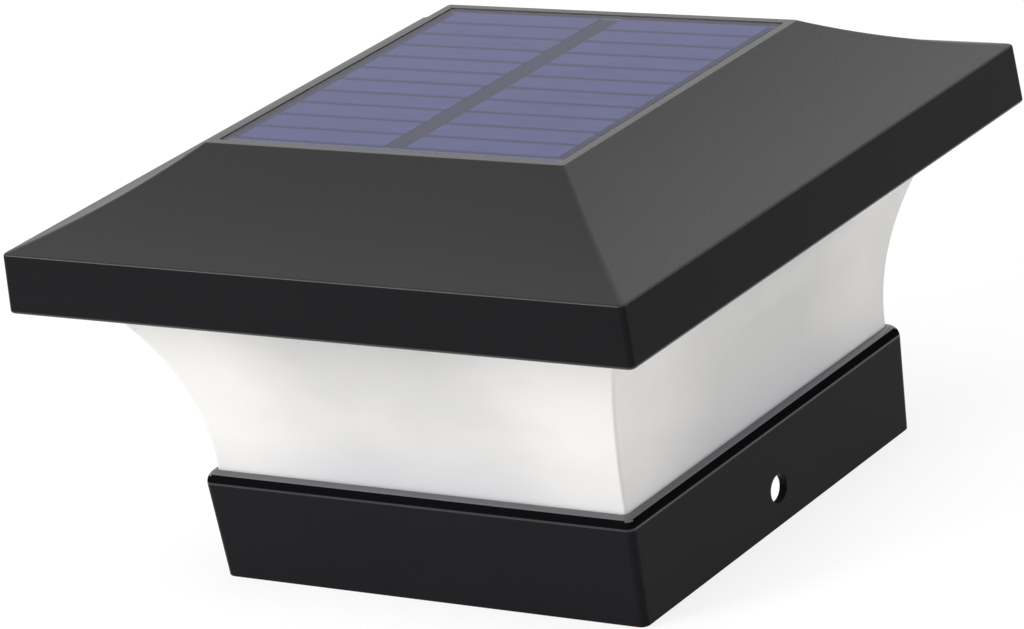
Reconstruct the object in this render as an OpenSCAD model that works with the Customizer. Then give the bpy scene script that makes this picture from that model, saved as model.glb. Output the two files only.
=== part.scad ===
// Solar deck post cap light.
// A square collar slides over the top of a timber post. A frosted diffuser flares up out of it
// and carries a hollow-sided roof, and the roof holds the solar panel in its flat deck and the
// battery, switch and light boards on a tray underneath.
// Millimetres, Z up. The origin is the centre of the collar's foot, and X runs through the two
// side screw holes.

/* [Post socket] */
// Width of the square post
post_w = 89; // [84:0.5:96]
// Gap between the post and each socket wall
post_gap = 1.9; // [1:0.1:4]
// Depth of the socket, from the foot to the post stop
socket_depth = 16; // [13:0.5:24]

/* [Base collar] */
// Wall thickness at the foot
collar_wall = 2; // [1.6:0.1:4]
// How far each side leans out between foot and shoulder
collar_lean = 0.8; // [0.2:0.1:2]
// Radius of the rounded shoulder
shoulder_r = 1.8; // [1.5:0.1:3]
// Flat left on the rim between the shoulder and the rebate
rim_flat = 0.15; // [0.1:0.05:1]
// Thickness of the ledge that stops the post
ledge_t = 4; // [3.2:0.1:6]
// How far the ledge reaches in from the socket wall
ledge_reach = 5; // [4:0.1:7]
// Plastic around each corner screw, on the side towards the middle
corner_pad = 1.4; // [1:0.1:3]
// Depth of the rebate that holds the diffuser's foot
rebate_depth = 2; // [1:0.1:3]
// Diameter of the side screw holes
side_hole_d = 5.5; // [4:0.1:7]
// Height of the side screw holes above the foot
side_hole_z = 7.4; // [5:0.1:9]

/* [Diffuser] */
// Height of the diffuser that shows between collar and roof
glow_h = 39.2; // [30:0.1:55]
// Wall thickness
diffuser_wall = 2; // [1.4:0.1:3]
// Gap between the diffuser's foot and the rebate
seat_gap = 0.15; // [0.05:0.05:0.4]
// Height of the screw posts inside the foot
foot_post_h = 9; // [7:0.1:14]
// How far these posts sink into the diffuser's wall
post_bite = 0.3; // [0.2:0.1:0.8]
// Thickness of the top flange
flange_t = 2; // [1.4:0.1:3]
// Width of the top flange, outside the flared wall
flange_w = 5.5; // [5.4:0.1:8]
// How far the flange sits up inside the roof's skirt
flange_recess = 2.2; // [1.8:0.1:4]
// Gap between the flange and the inside of the skirt
flange_gap = 0.4; // [0.2:0.1:1]
// Flange left outside the roof's screw posts
flange_edge = 0.3; // [0.2:0.1:1]

/* [Roof] */
// Overall width across the eaves
roof_w = 141; // [132:1:160]
// Height of the upright skirt
skirt_h = 11.8; // [10:0.1:14]
// How far the skirt leans in between eaves and top
skirt_lean = 0.5; // [0.2:0.1:1.5]
// Rise of the hollow slope, from the skirt to the deck
roof_rise = 13.5; // [13:0.1:20]
// Radius of the hollow of the slope
slope_r = 115; // [80:1:300]
// Width of the flat deck around the solar panel
deck_w = 81.5; // [76:0.5:88]
// Width of the deck's rim around the recess
panel_rim = 2; // [1.2:0.1:4]
// Wall thickness
roof_wall = 2; // [1.4:0.1:3]
// Chamfer on the lower edge of the skirt
eaves_chamfer = 0.6; // [0.3:0.1:1.2]

/* [Solar panel] */
// How far the panel's face sits below the rim
panel_sink = 0.1; // [0.05:0.05:1.5]
// Gap between the panel and the recess wall
panel_gap = 0.2; // [0.1:0.05:0.8]
// Thickness of the adhesive tape under the panel
tape_t = 0.4; // [0.3:0.1:1]
// Width of the adhesive tape
tape_w = 8; // [4:0.5:11]
// Thickness of the panel's board
panel_board_t = 1.6; // [1:0.1:2.4]
// Thickness of the cells
cell_t = 0.3; // [0.2:0.05:0.5]
// Clear resin above the cells
glaze_t = 0.3; // [0.2:0.1:1.5]
// Columns of cells
cell_columns = 2; // [1:1:4]
// Cells in each column
cell_rows = 11; // [6:1:16]
// Gap between the columns
column_gap = 5; // [1:0.1:8]
// Gap between one cell and the next
row_gap = 0.45; // [0.2:0.05:1]
// Bare margin beside the cells
side_margin = 2.2; // [1:0.1:5]
// Bare margin in front of the cells
front_margin = 2.5; // [0.5:0.1:4]
// Bare margin behind the cells
rear_margin = 0.8; // [0.3:0.1:4]

/* [Tray] */
// Thickness of the gasket between diffuser and tray
gasket_t = 0.8; // [0.5:0.1:1.5]
// Thickness of the tray
tray_t = 2; // [1.6:0.1:3]
// How far the tray's edge stays inside the flange's edge
tray_inset = 1.2; // [0.6:0.1:2.5]
// Distance of the tray's screws from the middle, along X and along Y
tray_screw_at = 50; // [46:0.5:53]
// Gap between the tray's corner notches and the roof's screw posts
notch_gap = 0.4; // [0.2:0.1:1]

/* [Battery] */
// Diameter of the battery
battery_d = 14.2; // [13.5:0.1:15]
// Length of the battery with its nub
battery_len = 50.5; // [48:0.5:52]
// Diameter of the battery's nub
nub_d = 5.5; // [4:0.1:6.5]
// Height of the battery's nub
nub_h = 1.2; // [0.8:0.1:2]
// Thickness of the battery's plastic sleeve
sleeve_t = 0.25; // [0.2:0.05:0.5]
// Bare metal at each end of the sleeve
sleeve_bare = 0.1; // [0.1:0.1:0.5]

/* [Battery box] */
// Gap around the battery
battery_gap = 0.4; // [0.2:0.1:1]
// Gap behind each contact plate
contact_gap = 0.1; // [0.05:0.05:0.3]
// Wall thickness of the battery box
box_wall = 1.5; // [1:0.1:2]
// Room between the battery box and the roof's ceiling
headroom = 1.1; // [0.5:0.1:2]
// Least depth of the box's rim below the tray
box_rim = 1; // [0.5:0.1:3]
// Thickness of the contact plates
contact_t = 0.4; // [0.3:0.05:0.6]
// Width of the contact plates
contact_w = 11.4; // [9:0.1:13]
// Length of the spring when the battery is in
spring_len = 5.4; // [4:0.1:7]
// Diameter of the spring's wire
spring_wire_d = 0.8; // [0.6:0.1:1]
// Diameter of the spring at the contact plate, between wire centres
spring_wide_d = 8.8; // [7:0.1:10]
// Diameter of the spring at the battery, between wire centres
spring_narrow_d = 4.8; // [3.5:0.1:6]
// Turns of the spring
spring_turns = 3; // [2:1:4]
// Gap between the spring's wire and what it presses on
spring_touch = 0.05; // [0.03:0.01:0.1]
// Height of the leads' holes above the battery's axis
lead_hole_rise = 5.1; // [3:0.1:5.5]
// Thickness of the battery door
door_t = 1.6; // [1.2:0.1:2.4]
// How far the door overlaps the box's sides
door_lip = 0.8; // [0.4:0.1:1.5]
// Plastic of the door around each screw's post
door_end = 0.4; // [0.2:0.1:1]
// Gap between the box and the door's screw posts
door_post_gap = 1.4; // [0.5:0.1:3]
// Height of the door's screw posts above the tray
door_post_h = 3; // [2:0.1:5]

/* [Light boards] */
// Length of each light board
led_board_len = 84; // [74:0.5:90]
// Width of each light board
led_board_w = 10; // [8:0.5:12]
// Thickness of each light board
led_board_t = 1.2; // [0.8:0.1:1.6]
// Distance of the light boards from the middle
led_board_y = 32; // [29:0.5:36]
// Distance of a board's screws from its ends
led_screw_inset = 3.5; // [2.5:0.1:5]
// Distance of the leads from a board's screw
led_lead_inset = 4.6; // [4.4:0.1:5]
// Lamps on each light board
led_count = 4; // [2:1:5]
// Spacing of the lamps
led_pitch = 17; // [14:0.5:18]
// Length of a lamp's body
led_len = 3.5; // [3:0.1:5]
// Width of a lamp's body
led_w = 2.8; // [2.6:0.1:4]
// Height of a lamp's body
led_h = 1.5; // [1:0.1:2]
// Diameter of the lamp's window
led_window_d = 2.2; // [1.4:0.1:2.4]
// Depth of the cup behind the window
led_cup_depth = 0.6; // [0.3:0.1:0.8]
// How far the window lies back from the lamp's face
led_window_sink = 0.1; // [0.05:0.05:0.2]

/* [Control board] */
// Length of the control board
control_len = 46; // [44:0.5:52]
// Width of the control board
control_w = 20; // [19:0.5:24]
// Thickness of the control board
control_t = 1.2; // [0.8:0.1:1.6]
// Distance of the control board's centre behind the middle
control_y = 25; // [24:0.5:27]
// Height of the control board above the tray
standoff_h = 3.2; // [2.8:0.1:4]
// Diameter of the control board's standoffs
standoff_d = 4.4; // [4:0.1:5]
// Board left outside each standoff
standoff_edge = 0.8; // [0.3:0.1:1.5]

/* [Board parts] */
// Length of the controller chip
chip_len = 5; // [4:0.1:7]
// Width of the controller chip
chip_w = 4; // [3:0.1:5]
// Height of the controller chip's body
chip_h = 1.5; // [1:0.1:2]
// Gap between the chip's body and the board
chip_lift = 0.15; // [0.1:0.05:0.3]
// Spacing of the chip's legs
leg_pitch = 1.27; // [1:0.01:1.3]
// Width of a chip leg
leg_w = 0.4; // [0.3:0.05:0.6]
// Length of a chip leg
leg_len = 1; // [0.6:0.1:1.5]
// Thickness of a chip leg
leg_t = 0.5; // [0.3:0.1:0.8]
// Legs on each side of the chip
leg_count = 4; // [3:1:4]
// Place of the chip from the board's centre, along X and Y
chip_at = [-4, 1]; // [-5:0.5:2]
// Diameter of the choke's end discs
choke_d = 6; // [5:0.1:7]
// Height of the choke
choke_h = 4.6; // [4:0.1:6]
// Thickness of the choke's end discs
choke_disc_t = 0.9; // [0.6:0.1:1.2]
// Diameter of the choke's stem
choke_stem_d = 3; // [2.4:0.1:3.6]
// Diameter of the choke's winding
choke_coil_d = 5.4; // [4.6:0.1:6]
// Gap between the winding and the choke's core
choke_gap = 0.1; // [0.05:0.05:0.2]
// Place of the choke from the board's centre, along X and Y
choke_at = [-12.5, 3.5]; // [-14:0.5:5]
// Diameter of the capacitor
capacitor_d = 5; // [4:0.1:6]
// Height of the capacitor
capacitor_h = 5; // [4:0.1:5.5]
// Place of the capacitor from the board's centre, along X and Y
capacitor_at = [5, 5.5]; // [4:0.5:7]
// Length of the diode
diode_len = 4; // [3:0.1:4.5]
// Width of the diode
diode_w = 2.4; // [1.6:0.1:2.8]
// Height of the diode
diode_h = 1.8; // [1:0.1:2.2]
// Place of the diode from the board's centre, along X and Y
diode_at = [5, 0]; // [-1:0.5:8]

/* [Slide switch] */
// Length of the switch's case
switch_len = 8.6; // [8:0.1:10]
// Width of the switch's case
switch_w = 4.4; // [3.8:0.1:5]
// Distance of the switch's case from the front edge of the control board
switch_inset = 2.6; // [1.5:0.1:3.5]
// Distance of the switch's centre to the right of the control board's
switch_x = 2; // [-4:0.5:6]
// Gap between the switch's case and the tray
switch_lift = 0.2; // [0.1:0.1:0.6]
// Sheet thickness of the switch's case
switch_sheet = 0.4; // [0.3:0.05:0.6]
// Travel of the slider
switch_travel = 2; // [1:0.1:2.5]
// Length of the slider inside the case
slider_len = 3.6; // [3:0.1:4]
// Height of the slider inside the case
slider_h = 1.4; // [1:0.1:1.6]
// Gap around the slider
slider_gap = 0.15; // [0.1:0.05:0.3]
// Length of the slider's stem, along its travel
stem_len = 2.4; // [1.6:0.1:3]
// Width of the slider's stem, across its travel
stem_w = 2; // [1.4:0.1:2.4]
// Gap around the stem in the tray's slot
stem_gap = 0.35; // [0.2:0.05:0.6]
// How far the stem stands out below the tray
stem_reach = 2.6; // [1.5:0.1:3]

/* [Screws] */
// Diameter of the case screws' thread
screw_d = 2.5; // [2:0.1:2.8]
// Diameter of the case screws' heads
screw_head_d = 4.8; // [4:0.1:5]
// Height of the case screws' heads
screw_head_h = 1.6; // [1.2:0.1:1.7]
// Diameter of the case screws' posts
screw_post_d = 5.6; // [5:0.1:6]
// Gap around a sunk screw head
sink_gap = 0.3; // [0.2:0.1:0.5]
// Length of thread that the diffuser's flange screws put into the roof
flange_bite = 5.6; // [4:0.1:5.8]
// Length of thread that the tray's screws put into the roof
tray_bite = 6; // [4:0.1:7]
// Diameter of the small board screws' thread
board_screw_d = 1.9; // [1.4:0.1:2]
// Diameter of the small board screws' heads
board_head_d = 3.6; // [3:0.1:4]
// Height of the small board screws' heads
board_head_h = 1.2; // [0.8:0.1:1.5]
// How far the light boards' screws stand out above the tray
led_screw_proud = 0.6; // [0.3:0.1:1.2]
// Gap around a thread in its pilot hole
thread_gap = 0.05; // [0.02:0.01:0.1]
// Gap around a thread in a plain hole
hole_gap = 0.25; // [0.1:0.05:0.4]
// Gap beyond the tip of a screw in a blind hole
tip_gap = 0.4; // [0.2:0.1:0.8]
// Plastic left at the end of a blind hole
blind_floor = 1; // [0.8:0.1:2]

/* [Leads] */
// Diameter of the insulated leads
lead_d = 1.2; // [0.8:0.1:1.4]
// Gap between the two leads of a pair
pair_gap = 0.8; // [0.5:0.1:1.2]
// Gap around a lead in its hole
lead_gap = 0.1; // [0.05:0.05:0.3]
// Gap between the tray and the leads that cross it
lead_lift = 1.2; // [0.8:0.1:1.4]
// Gap between the leads and the screw posts that they go round
lead_clear = 3.2; // [2:0.1:4]
// Length that a lead takes to turn a corner
lead_turn = 3; // [2:0.1:4]
// Room around the pair of leads in the roof's slot
slot_room = 0.8; // [0.5:0.1:1.5]
// Distance of that slot to the right of the middle
slot_x = 14; // [12:0.5:16]
// Distance of the battery leads' joints from the ends of the control board
battery_joint_x = 6; // [5.5:0.5:9]
// Distance of the battery leads' joints from the front edge of the control board
battery_joint_y = 1.6; // [1.2:0.1:2]
// Distance of the light boards' joints from the right end of the control board
led_joint_x = 4; // [3:0.5:6]
// Distance of the front light board's joints from the front edge of the control board
led_joint_y = 3; // [2.5:0.1:4]
// Distance of the rear light board's joints behind the front one's
led_joint_step = 4.5; // [4:0.1:6]

/* [Hidden] */
$fn = 64;
ARC = 256;          // facets of the large hollow curves in a preview
LEAD_SIDES = 8;     // sides of a lead's tube
LEAD_STEPS = 5;     // rings between one point of a lead's route and the next
WIRE_SIDES = 6;     // sides of the spring's wire
WIRE_STEPS = 14;    // rings in each turn of the spring
CROSS_LEN = 1.1;    // length of a screw's cross recess, as a share of its head's radius
CROSS_W = 0.24;     // width of the cross recess, as a share of the head's radius
CROSS_DEPTH = 0.45; // depth of the cross recess, as a share of the head's height
eps = 1;            // how far a cut runs past the face it opens

// screws and leads
screw_r = screw_d / 2;
head_r = screw_head_d / 2;
post_r = screw_post_d / 2;
board_screw_r = board_screw_d / 2;
board_head_r = board_head_d / 2;
head_recess = screw_head_h + sink_gap;
lead_r = lead_d / 2;
pair_half = (lead_d + pair_gap) / 2;

// collar
socket_half = post_w / 2 + post_gap;
foot_half = socket_half + collar_wall;
shoulder_half = foot_half + collar_lean;
ledge_z = socket_depth + ledge_t;
collar_h = ledge_z + rebate_depth;
shoulder_z = collar_h - shoulder_r;
rebate_half = shoulder_half - shoulder_r - rim_flat;
throat_half = socket_half - ledge_reach;

// diffuser
waist_half = rebate_half - seat_gap;
eaves_z = collar_h + glow_h;
flange_z = eaves_z + flange_recess;
flange_top = flange_z + flange_t;
flange_half = roof_w / 2 - roof_wall - skirt_lean - flange_gap;
mouth_half = flange_half - flange_w;
flare_h = flange_z - collar_h;
flare_out = mouth_half - waist_half;
flare_r = (flare_h * flare_h + flare_out * flare_out) / (2 * flare_out);
flare_x = waist_half + flare_r;
mouth_inner = flare_x - sqrt(pow(flare_r + diffuser_wall, 2) - pow(flange_top - collar_h, 2));
foot_screw_at = waist_half - diffuser_wall - post_r + post_bite;
foot_screw_len = ledge_t - head_recess + foot_post_h - blind_floor - tip_gap;
pad_from = foot_screw_at - post_r - corner_pad;
flange_screw_at = flange_half - flange_edge - post_r;

// roof
skirt_top = eaves_z + skirt_h;
deck_z = skirt_top + roof_rise;
deck_half = deck_w / 2;
skirt_half = roof_w / 2 - skirt_lean;
recess_half = deck_half - panel_rim;
panel_t = tape_t + panel_board_t + cell_t + glaze_t;
recess_z = deck_z - panel_sink - panel_t;
ceiling_z = recess_z - roof_wall;
slope_run = skirt_half - deck_half;
slope_chord = sqrt(slope_run * slope_run + roof_rise * roof_rise);
slope_sag = sqrt(slope_r * slope_r - slope_chord * slope_chord / 4);
slope_cx = (skirt_half + deck_half) / 2 + slope_sag * roof_rise / slope_chord;
slope_cz = (skirt_top + deck_z) / 2 + slope_sag * slope_run / slope_chord;

// solar panel
panel_half = recess_half - panel_gap;
board_z = recess_z + tape_t;
cell_z = board_z + panel_board_t;
panel_top = cell_z + cell_t + glaze_t;
cell_w = (2 * panel_half - 2 * side_margin - (cell_columns - 1) * column_gap) / cell_columns;
cell_pitch = (2 * panel_half - front_margin - rear_margin + row_gap) / cell_rows;
slot_len = 2 * (pair_half + lead_r + slot_room);
slot_w = 2 * (lead_r + slot_room);

// tray
gasket_z = flange_top;
tray_z = gasket_z + gasket_t;
tray_top = tray_z + tray_t;
tray_half = flange_half - tray_inset;
notch_from = flange_screw_at - post_r - notch_gap;

// battery, which lies along X in a box that hangs from the tray
battery_r = battery_d / 2;
box_in_len = battery_len + spring_len + 2 * (contact_t + contact_gap);
box_in_w = battery_d + 2 * battery_gap;
box_len = box_in_len + 2 * box_wall;
box_w = box_in_w + 2 * box_wall;
box_z = min(ceiling_z - headroom - box_wall - box_in_w, tray_z - box_rim);
box_top = box_z + box_in_w + box_wall;
battery_axis = box_z + battery_gap + battery_r;
lead_hole_z = battery_axis + lead_hole_rise;
plate_x = -box_in_len / 2 + contact_gap;
spring_x = plate_x + contact_t;
battery_x = spring_x + spring_len;
nub_plate_x = battery_x + battery_len;
door_screw_x = box_len / 2 + door_post_gap + post_r;
door_post_top = tray_top + door_post_h;
door_screw_len = door_t + door_post_top - box_z - blind_floor - tip_gap;

// boards
control_z = tray_top + standoff_h;
control_top = control_z + control_t;
control_front = control_y - control_w / 2;
standoff_r = standoff_d / 2;
standoff_x = control_len / 2 - standoff_r - standoff_edge;
standoff_dy = control_w / 2 - standoff_r - standoff_edge;
led_board_z = tray_z - led_board_t;
led_z = led_board_z - led_h;
led_screw_x = led_board_len / 2 - led_screw_inset;
led_lead_x = led_screw_x - led_lead_inset;

// slide switch, drawn at the end of its travel towards -X
switch_y = control_front + switch_inset + switch_w / 2;
switch_z = tray_top + switch_lift;
slider_x = switch_x - switch_travel / 2;
slider_z = switch_z + switch_sheet + slider_gap;
stem_slot = stem_len + switch_travel + 2 * stem_gap;

// ---- shared shapes ----

// A block whose four sides all follow the profile given as its child, drawn with X out and Y up.
module four_sided() {
    intersection() {
        rotate([90, 0, 0]) linear_extrude(2 * roof_w, center = true) children();
        rotate([90, 0, 90]) linear_extrude(2 * roof_w, center = true) children();
    }
}

// A square block about the Z axis, from z0 to z1.
module square_block(half, z0, z1) {
    translate([-half, -half, z0]) cube([2 * half, 2 * half, z1 - z0]);
}

// A flat bar about the upright axis of a profile, from z0 to z1.
module bar(half, z0, z1) {
    translate([-half, z0]) square([2 * half, z1 - z0]);
}

// A shape and its mirror image, left and right.
module both_sides() {
    children();
    mirror([1, 0]) children();
}

// A copy at each corner of a square.
module at_corners(at) {
    for (sx = [-1, 1], sy = [-1, 1]) translate([sx * at, sy * at, 0]) children();
}

// A quarter turn of a shape towards each corner, for what isn't round.
module each_corner() {
    for (sx = [0, 1], sy = [0, 1]) mirror([sx, 0, 0]) mirror([0, sy, 0]) children();
}

// A pan head screw that points up, its head's seat at z = 0, with a cross recess.
module pan_screw(len, thread_r, head_r, head_h) {
    arm = head_r * CROSS_LEN;
    slot = head_r * CROSS_W;
    difference() {
        union() {
            translate([0, 0, -head_h]) cylinder(r = head_r, h = head_h);
            translate([0, 0, -head_h / 2]) cylinder(r = thread_r, h = len + head_h / 2);
        }
        for (a = [0, 90]) rotate([0, 0, a])
            translate([-arm / 2, -slot / 2, -head_h - eps])
                cube([arm, slot, eps + head_h * CROSS_DEPTH]);
    }
}

module case_screw(len) pan_screw(len, screw_r, head_r, screw_head_h);
module board_screw(len) pan_screw(len, board_screw_r, board_head_r, board_head_h);

function unit(v) = v / norm(v);
function along(p, i) = unit(p[min(i + 1, len(p) - 1)] - p[max(i - 1, 0)]);
function carried(n, t) = unit(n - (n * t) * t);
function first_normal(t) = carried(abs(t[0]) < abs(t[2]) ? [1, 0, 0] : [0, 1, 0], t);

// The ring directions along a path, each carried over from the one before without twist.
function normals(p, i = 0, last = undef) =
    let (t = along(p, i), n = is_undef(last) ? first_normal(t) : carried(last, t))
    i == len(p) - 1 ? [n] : concat([n], normals(p, i + 1, n));

// One point of a smooth curve through the points p, s of the way from p[i] to p[i + 1].
function eased(p, i, s) =
    let (a = p[max(i - 1, 0)], b = p[i], c = p[i + 1], d = p[min(i + 2, len(p) - 1)])
    0.5 * (2 * b + s * (c - a) + s * s * (2 * a - 5 * b + 4 * c - d)
        + s * s * s * (3 * b - a - 3 * c + d));

function curve(p, steps) = concat(
    [for (i = [0 : len(p) - 2], k = [0 : steps - 1]) eased(p, i, k / steps)], [p[len(p) - 1]]);

// A round tube along a path, closed at both ends.
module tube(path, r, sides) {
    n = normals(path);
    rings = len(path);
    points = [for (i = [0 : rings - 1], k = [0 : sides - 1])
        let (b = cross(along(path, i), n[i]), a = 360 * k / sides)
        path[i] + r * (cos(a) * n[i] + sin(a) * b)];
    walls = [for (i = [0 : rings - 2], k = [0 : sides - 1])
        let (j = (k + 1) % sides, a = i * sides, b = a + sides)
        each [[a + k, b + k, b + j], [a + k, b + j, a + j]]];
    end = (rings - 1) * sides;
    caps = [for (k = [1 : sides - 2]) each [[0, k, k + 1], [end, end + k + 1, end + k]]];
    polyhedron(points = points, faces = concat(walls, caps), convexity = 6);
}

// A lead that leaves its first point and meets its last one in a straight line.
module lead(points) {
    last = len(points) - 1;
    middle = [for (i = [1 : last - 1]) points[i]];
    tube(concat([points[0]], curve(middle, LEAD_STEPS), [points[last]]), lead_r, LEAD_SIDES);
}

// ---- roof ----

module roof_profile(inset, bottom) {
    low = roof_w / 2 - inset + skirt_lean * (eaves_z - bottom) / skirt_h;
    high = low - skirt_lean * (deck_z - bottom) / skirt_h;
    top = deck_z - inset;
    cut = inset == 0 ? eaves_chamfer : 0;
    difference() {
        polygon([
            [-low + cut, bottom], [low - cut, bottom], [low, bottom + cut], [high, top],
            [-high, top], [-low, bottom + cut]
        ]);
        both_sides() translate([slope_cx, slope_cz]) circle(r = slope_r + inset, $fn = ARC);
    }
}

module roof_block(inset, bottom) four_sided() roof_profile(inset, bottom);

module roof_posts() {
    at_corners(flange_screw_at)
        translate([0, 0, flange_top]) cylinder(r = post_r, h = deck_z - flange_top);
    at_corners(tray_screw_at)
        translate([0, 0, tray_top]) cylinder(r = post_r, h = deck_z - tray_top);
}

module roof_pilots() {
    at_corners(flange_screw_at) translate([0, 0, flange_top - eps])
        cylinder(r = screw_r + thread_gap, h = eps + flange_bite + tip_gap);
    at_corners(tray_screw_at) translate([0, 0, tray_top - eps])
        cylinder(r = screw_r + thread_gap, h = eps + tray_bite + tip_gap);
}

// The slot in the roof's ceiling for the panel's leads, from z0 to z1.
module wire_slot(z0, z1) {
    translate([slot_x - slot_len / 2, control_y - slot_w / 2, z0])
        cube([slot_len, slot_w, z1 - z0]);
}

module roof_cap() color("#2a2a2c") difference() {
    union() {
        difference() {
            roof_block(0, eaves_z);
            difference() {
                roof_block(roof_wall, eaves_z - eps);
                square_block(recess_half + roof_wall, ceiling_z, deck_z + eps);
            }
        }
        intersection() {
            roof_posts();
            roof_block(roof_wall / 2, eaves_z - eps);
        }
    }
    square_block(recess_half, recess_z, deck_z + eps);
    wire_slot(ceiling_z - eps, recess_z + eps);
    roof_pilots();
}

// ---- solar panel ----

module solar_cells() color("#5a639c")
    for (c = [0 : cell_columns - 1], r = [0 : cell_rows - 1])
        translate([
            -panel_half + side_margin + c * (cell_w + column_gap),
            -panel_half + front_margin + r * cell_pitch,
            cell_z
        ]) cube([cell_w, cell_pitch - row_gap, cell_t]);

module panel_glaze() color([0.75, 0.8, 0.95, 0.35]) difference() {
    square_block(panel_half, cell_z, panel_top);
    solar_cells();
}

module panel_board() color("#2b2c33") square_block(panel_half, board_z, cell_z);

module panel_tape() color("#e9e6da") difference() {
    square_block(panel_half, recess_z, board_z);
    square_block(panel_half - tape_w, recess_z - eps, board_z + eps);
}

// One of the two leads, on the left (-1) or right (1): it drops from the panel through the
// ceiling, bows out and comes back to the board.
module panel_lead(side) {
    x = slot_x + side * pair_half;
    drop = ceiling_z - control_top;
    bow = drop / 4;
    lead([
        [x, control_y, board_z],
        [x, control_y, ceiling_z - lead_r],
        [x, control_y - bow, ceiling_z - drop / 2],
        [x, control_y, control_top + lead_d],
        [x, control_y, control_top]
    ]);
}

module panel_lead_red() color("#b02020") panel_lead(-1);
module panel_lead_black() color("#151515") panel_lead(1);

// Plug that seals the slot around the two leads.
module wire_seal() color("#d8d2c0") difference() {
    wire_slot(ceiling_z, recess_z);
    for (side = [-1, 1])
        translate([slot_x + side * pair_half, control_y, ceiling_z - eps])
            cylinder(r = lead_r + lead_gap, h = roof_wall + 2 * eps);
}

// ---- tray and its gasket ----

module corner_notches() {
    each_corner() translate([notch_from, notch_from, gasket_z - eps])
        cube([tray_half, tray_half, tray_top - gasket_z + 2 * eps]);
}

module roof_gasket() color("#3a3a3c") difference() {
    square_block(tray_half, gasket_z, tray_z);
    square_block(mouth_inner, gasket_z - eps, tray_z + eps);
    corner_notches();
}

module at_door_screws() {
    for (side = [-1, 1]) translate([side * door_screw_x, 0, 0]) children();
}

module at_standoffs() {
    for (s = [-1, 1]) translate([s * standoff_x, control_y + s * standoff_dy, 0]) children();
}

module at_led_screws() {
    for (sx = [-1, 1], sy = [-1, 1]) translate([sx * led_screw_x, sy * led_board_y, 0]) children();
}

module tray() color("#f2f2ee") difference() {
    union() {
        square_block(tray_half, tray_z, tray_top);
        translate([-box_len / 2, -box_w / 2, box_z]) cube([box_len, box_w, box_top - box_z]);
        at_door_screws() translate([0, 0, box_z]) cylinder(r = post_r, h = door_post_top - box_z);
        at_standoffs() translate([0, 0, tray_top]) cylinder(r = standoff_r, h = standoff_h);
    }
    corner_notches();
    translate([-box_in_len / 2, -box_in_w / 2, box_z - eps])
        cube([box_in_len, box_in_w, box_in_w + eps]);
    translate([-box_len / 2 - eps, 0, lead_hole_z]) rotate([0, 90, 0])
        cylinder(r = lead_r + lead_gap, h = box_len + 2 * eps);
    at_door_screws() translate([0, 0, box_z - eps])
        cylinder(r = screw_r + thread_gap, h = eps + door_post_top - box_z - blind_floor);
    at_standoffs() translate([0, 0, tray_top])
        cylinder(r = board_screw_r + thread_gap, h = standoff_h + eps);
    at_corners(tray_screw_at) translate([0, 0, tray_z - eps])
        cylinder(r = screw_r + hole_gap, h = tray_t + 2 * eps);
    at_led_screws() translate([0, 0, tray_z - eps])
        cylinder(r = board_screw_r + thread_gap, h = tray_t + 2 * eps);
    for (sy = [-1, 1], side = [-1, 1])
        translate([led_lead_x + side * pair_half, sy * led_board_y, tray_z - eps])
            cylinder(r = lead_r + lead_gap, h = tray_t + 2 * eps);
    translate([switch_x - stem_slot / 2, switch_y - stem_w / 2 - stem_gap, tray_z - eps])
        cube([stem_slot, stem_w + 2 * stem_gap, tray_t + 2 * eps]);
}

module tray_screws() color("#b9bcc0") at_corners(tray_screw_at)
    translate([0, 0, tray_z]) case_screw(tray_t + tray_bite);

// ---- battery ----

// Lays a shape drawn along +Z on the battery's axis, starting at x.
module on_axis(x) translate([x, 0, battery_axis]) rotate([0, 90, 0]) children();

module battery_can() color("#c9ccd0") on_axis(battery_x) {
    cylinder(r = battery_r - sleeve_t, h = battery_len - nub_h);
    translate([0, 0, battery_len - nub_h]) cylinder(r = nub_d / 2, h = nub_h);
}

module battery_sleeve() color("#2f8f4e") on_axis(battery_x + sleeve_bare) difference() {
    cylinder(r = battery_r, h = battery_len - nub_h - 2 * sleeve_bare);
    translate([0, 0, -eps]) cylinder(r = battery_r - sleeve_t, h = battery_len);
}

// A plate behind the battery's end, high enough to take its lead.
module contact_plate(x) {
    translate([x, -contact_w / 2, battery_axis - contact_w / 2])
        cube([contact_t, contact_w, contact_w / 2 + lead_hole_rise + lead_r]);
}

module spring_plate() color("#c8b560") contact_plate(plate_x);
module nub_plate() color("#c8b560") contact_plate(nub_plate_x);

// A conical coil that narrows from the plate to the battery.
module battery_spring() color("#d0d3d6") {
    wire_r = spring_wire_d / 2;
    start = spring_x + spring_touch + wire_r;
    run = spring_len - spring_wire_d - 2 * spring_touch;
    steps = spring_turns * WIRE_STEPS;
    path = [for (i = [0 : steps])
        let (s = i / steps, a = 360 * spring_turns * s,
            r = (spring_wide_d + (spring_narrow_d - spring_wide_d) * s) / 2)
        [start + run * s, r * cos(a), battery_axis + r * sin(a)]];
    tube(path, wire_r, WIRE_SIDES);
}

// From a contact plate, on the left (-1) or right (1), out through the box's end wall, round
// the box and onto the control board.
module battery_lead(side) {
    wall_x = side * box_len / 2;
    out_x = wall_x + side * 2 * lead_d;
    beside = box_w / 2 + lead_turn;
    joint_x = side * (control_len / 2 - battery_joint_x);
    joint_y = control_front + battery_joint_y;
    lead([
        [side < 0 ? plate_x : nub_plate_x + contact_t, 0, lead_hole_z],
        [wall_x + side * lead_r, 0, lead_hole_z],
        [out_x, lead_turn, lead_hole_z],
        [out_x, box_w / 2, lead_hole_z],
        [wall_x - side * lead_turn, beside, lead_hole_z],
        [joint_x + side * lead_turn, beside, lead_hole_z],
        [joint_x, joint_y, control_top + lead_d],
        [joint_x, joint_y, control_top]
    ]);
}

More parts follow.
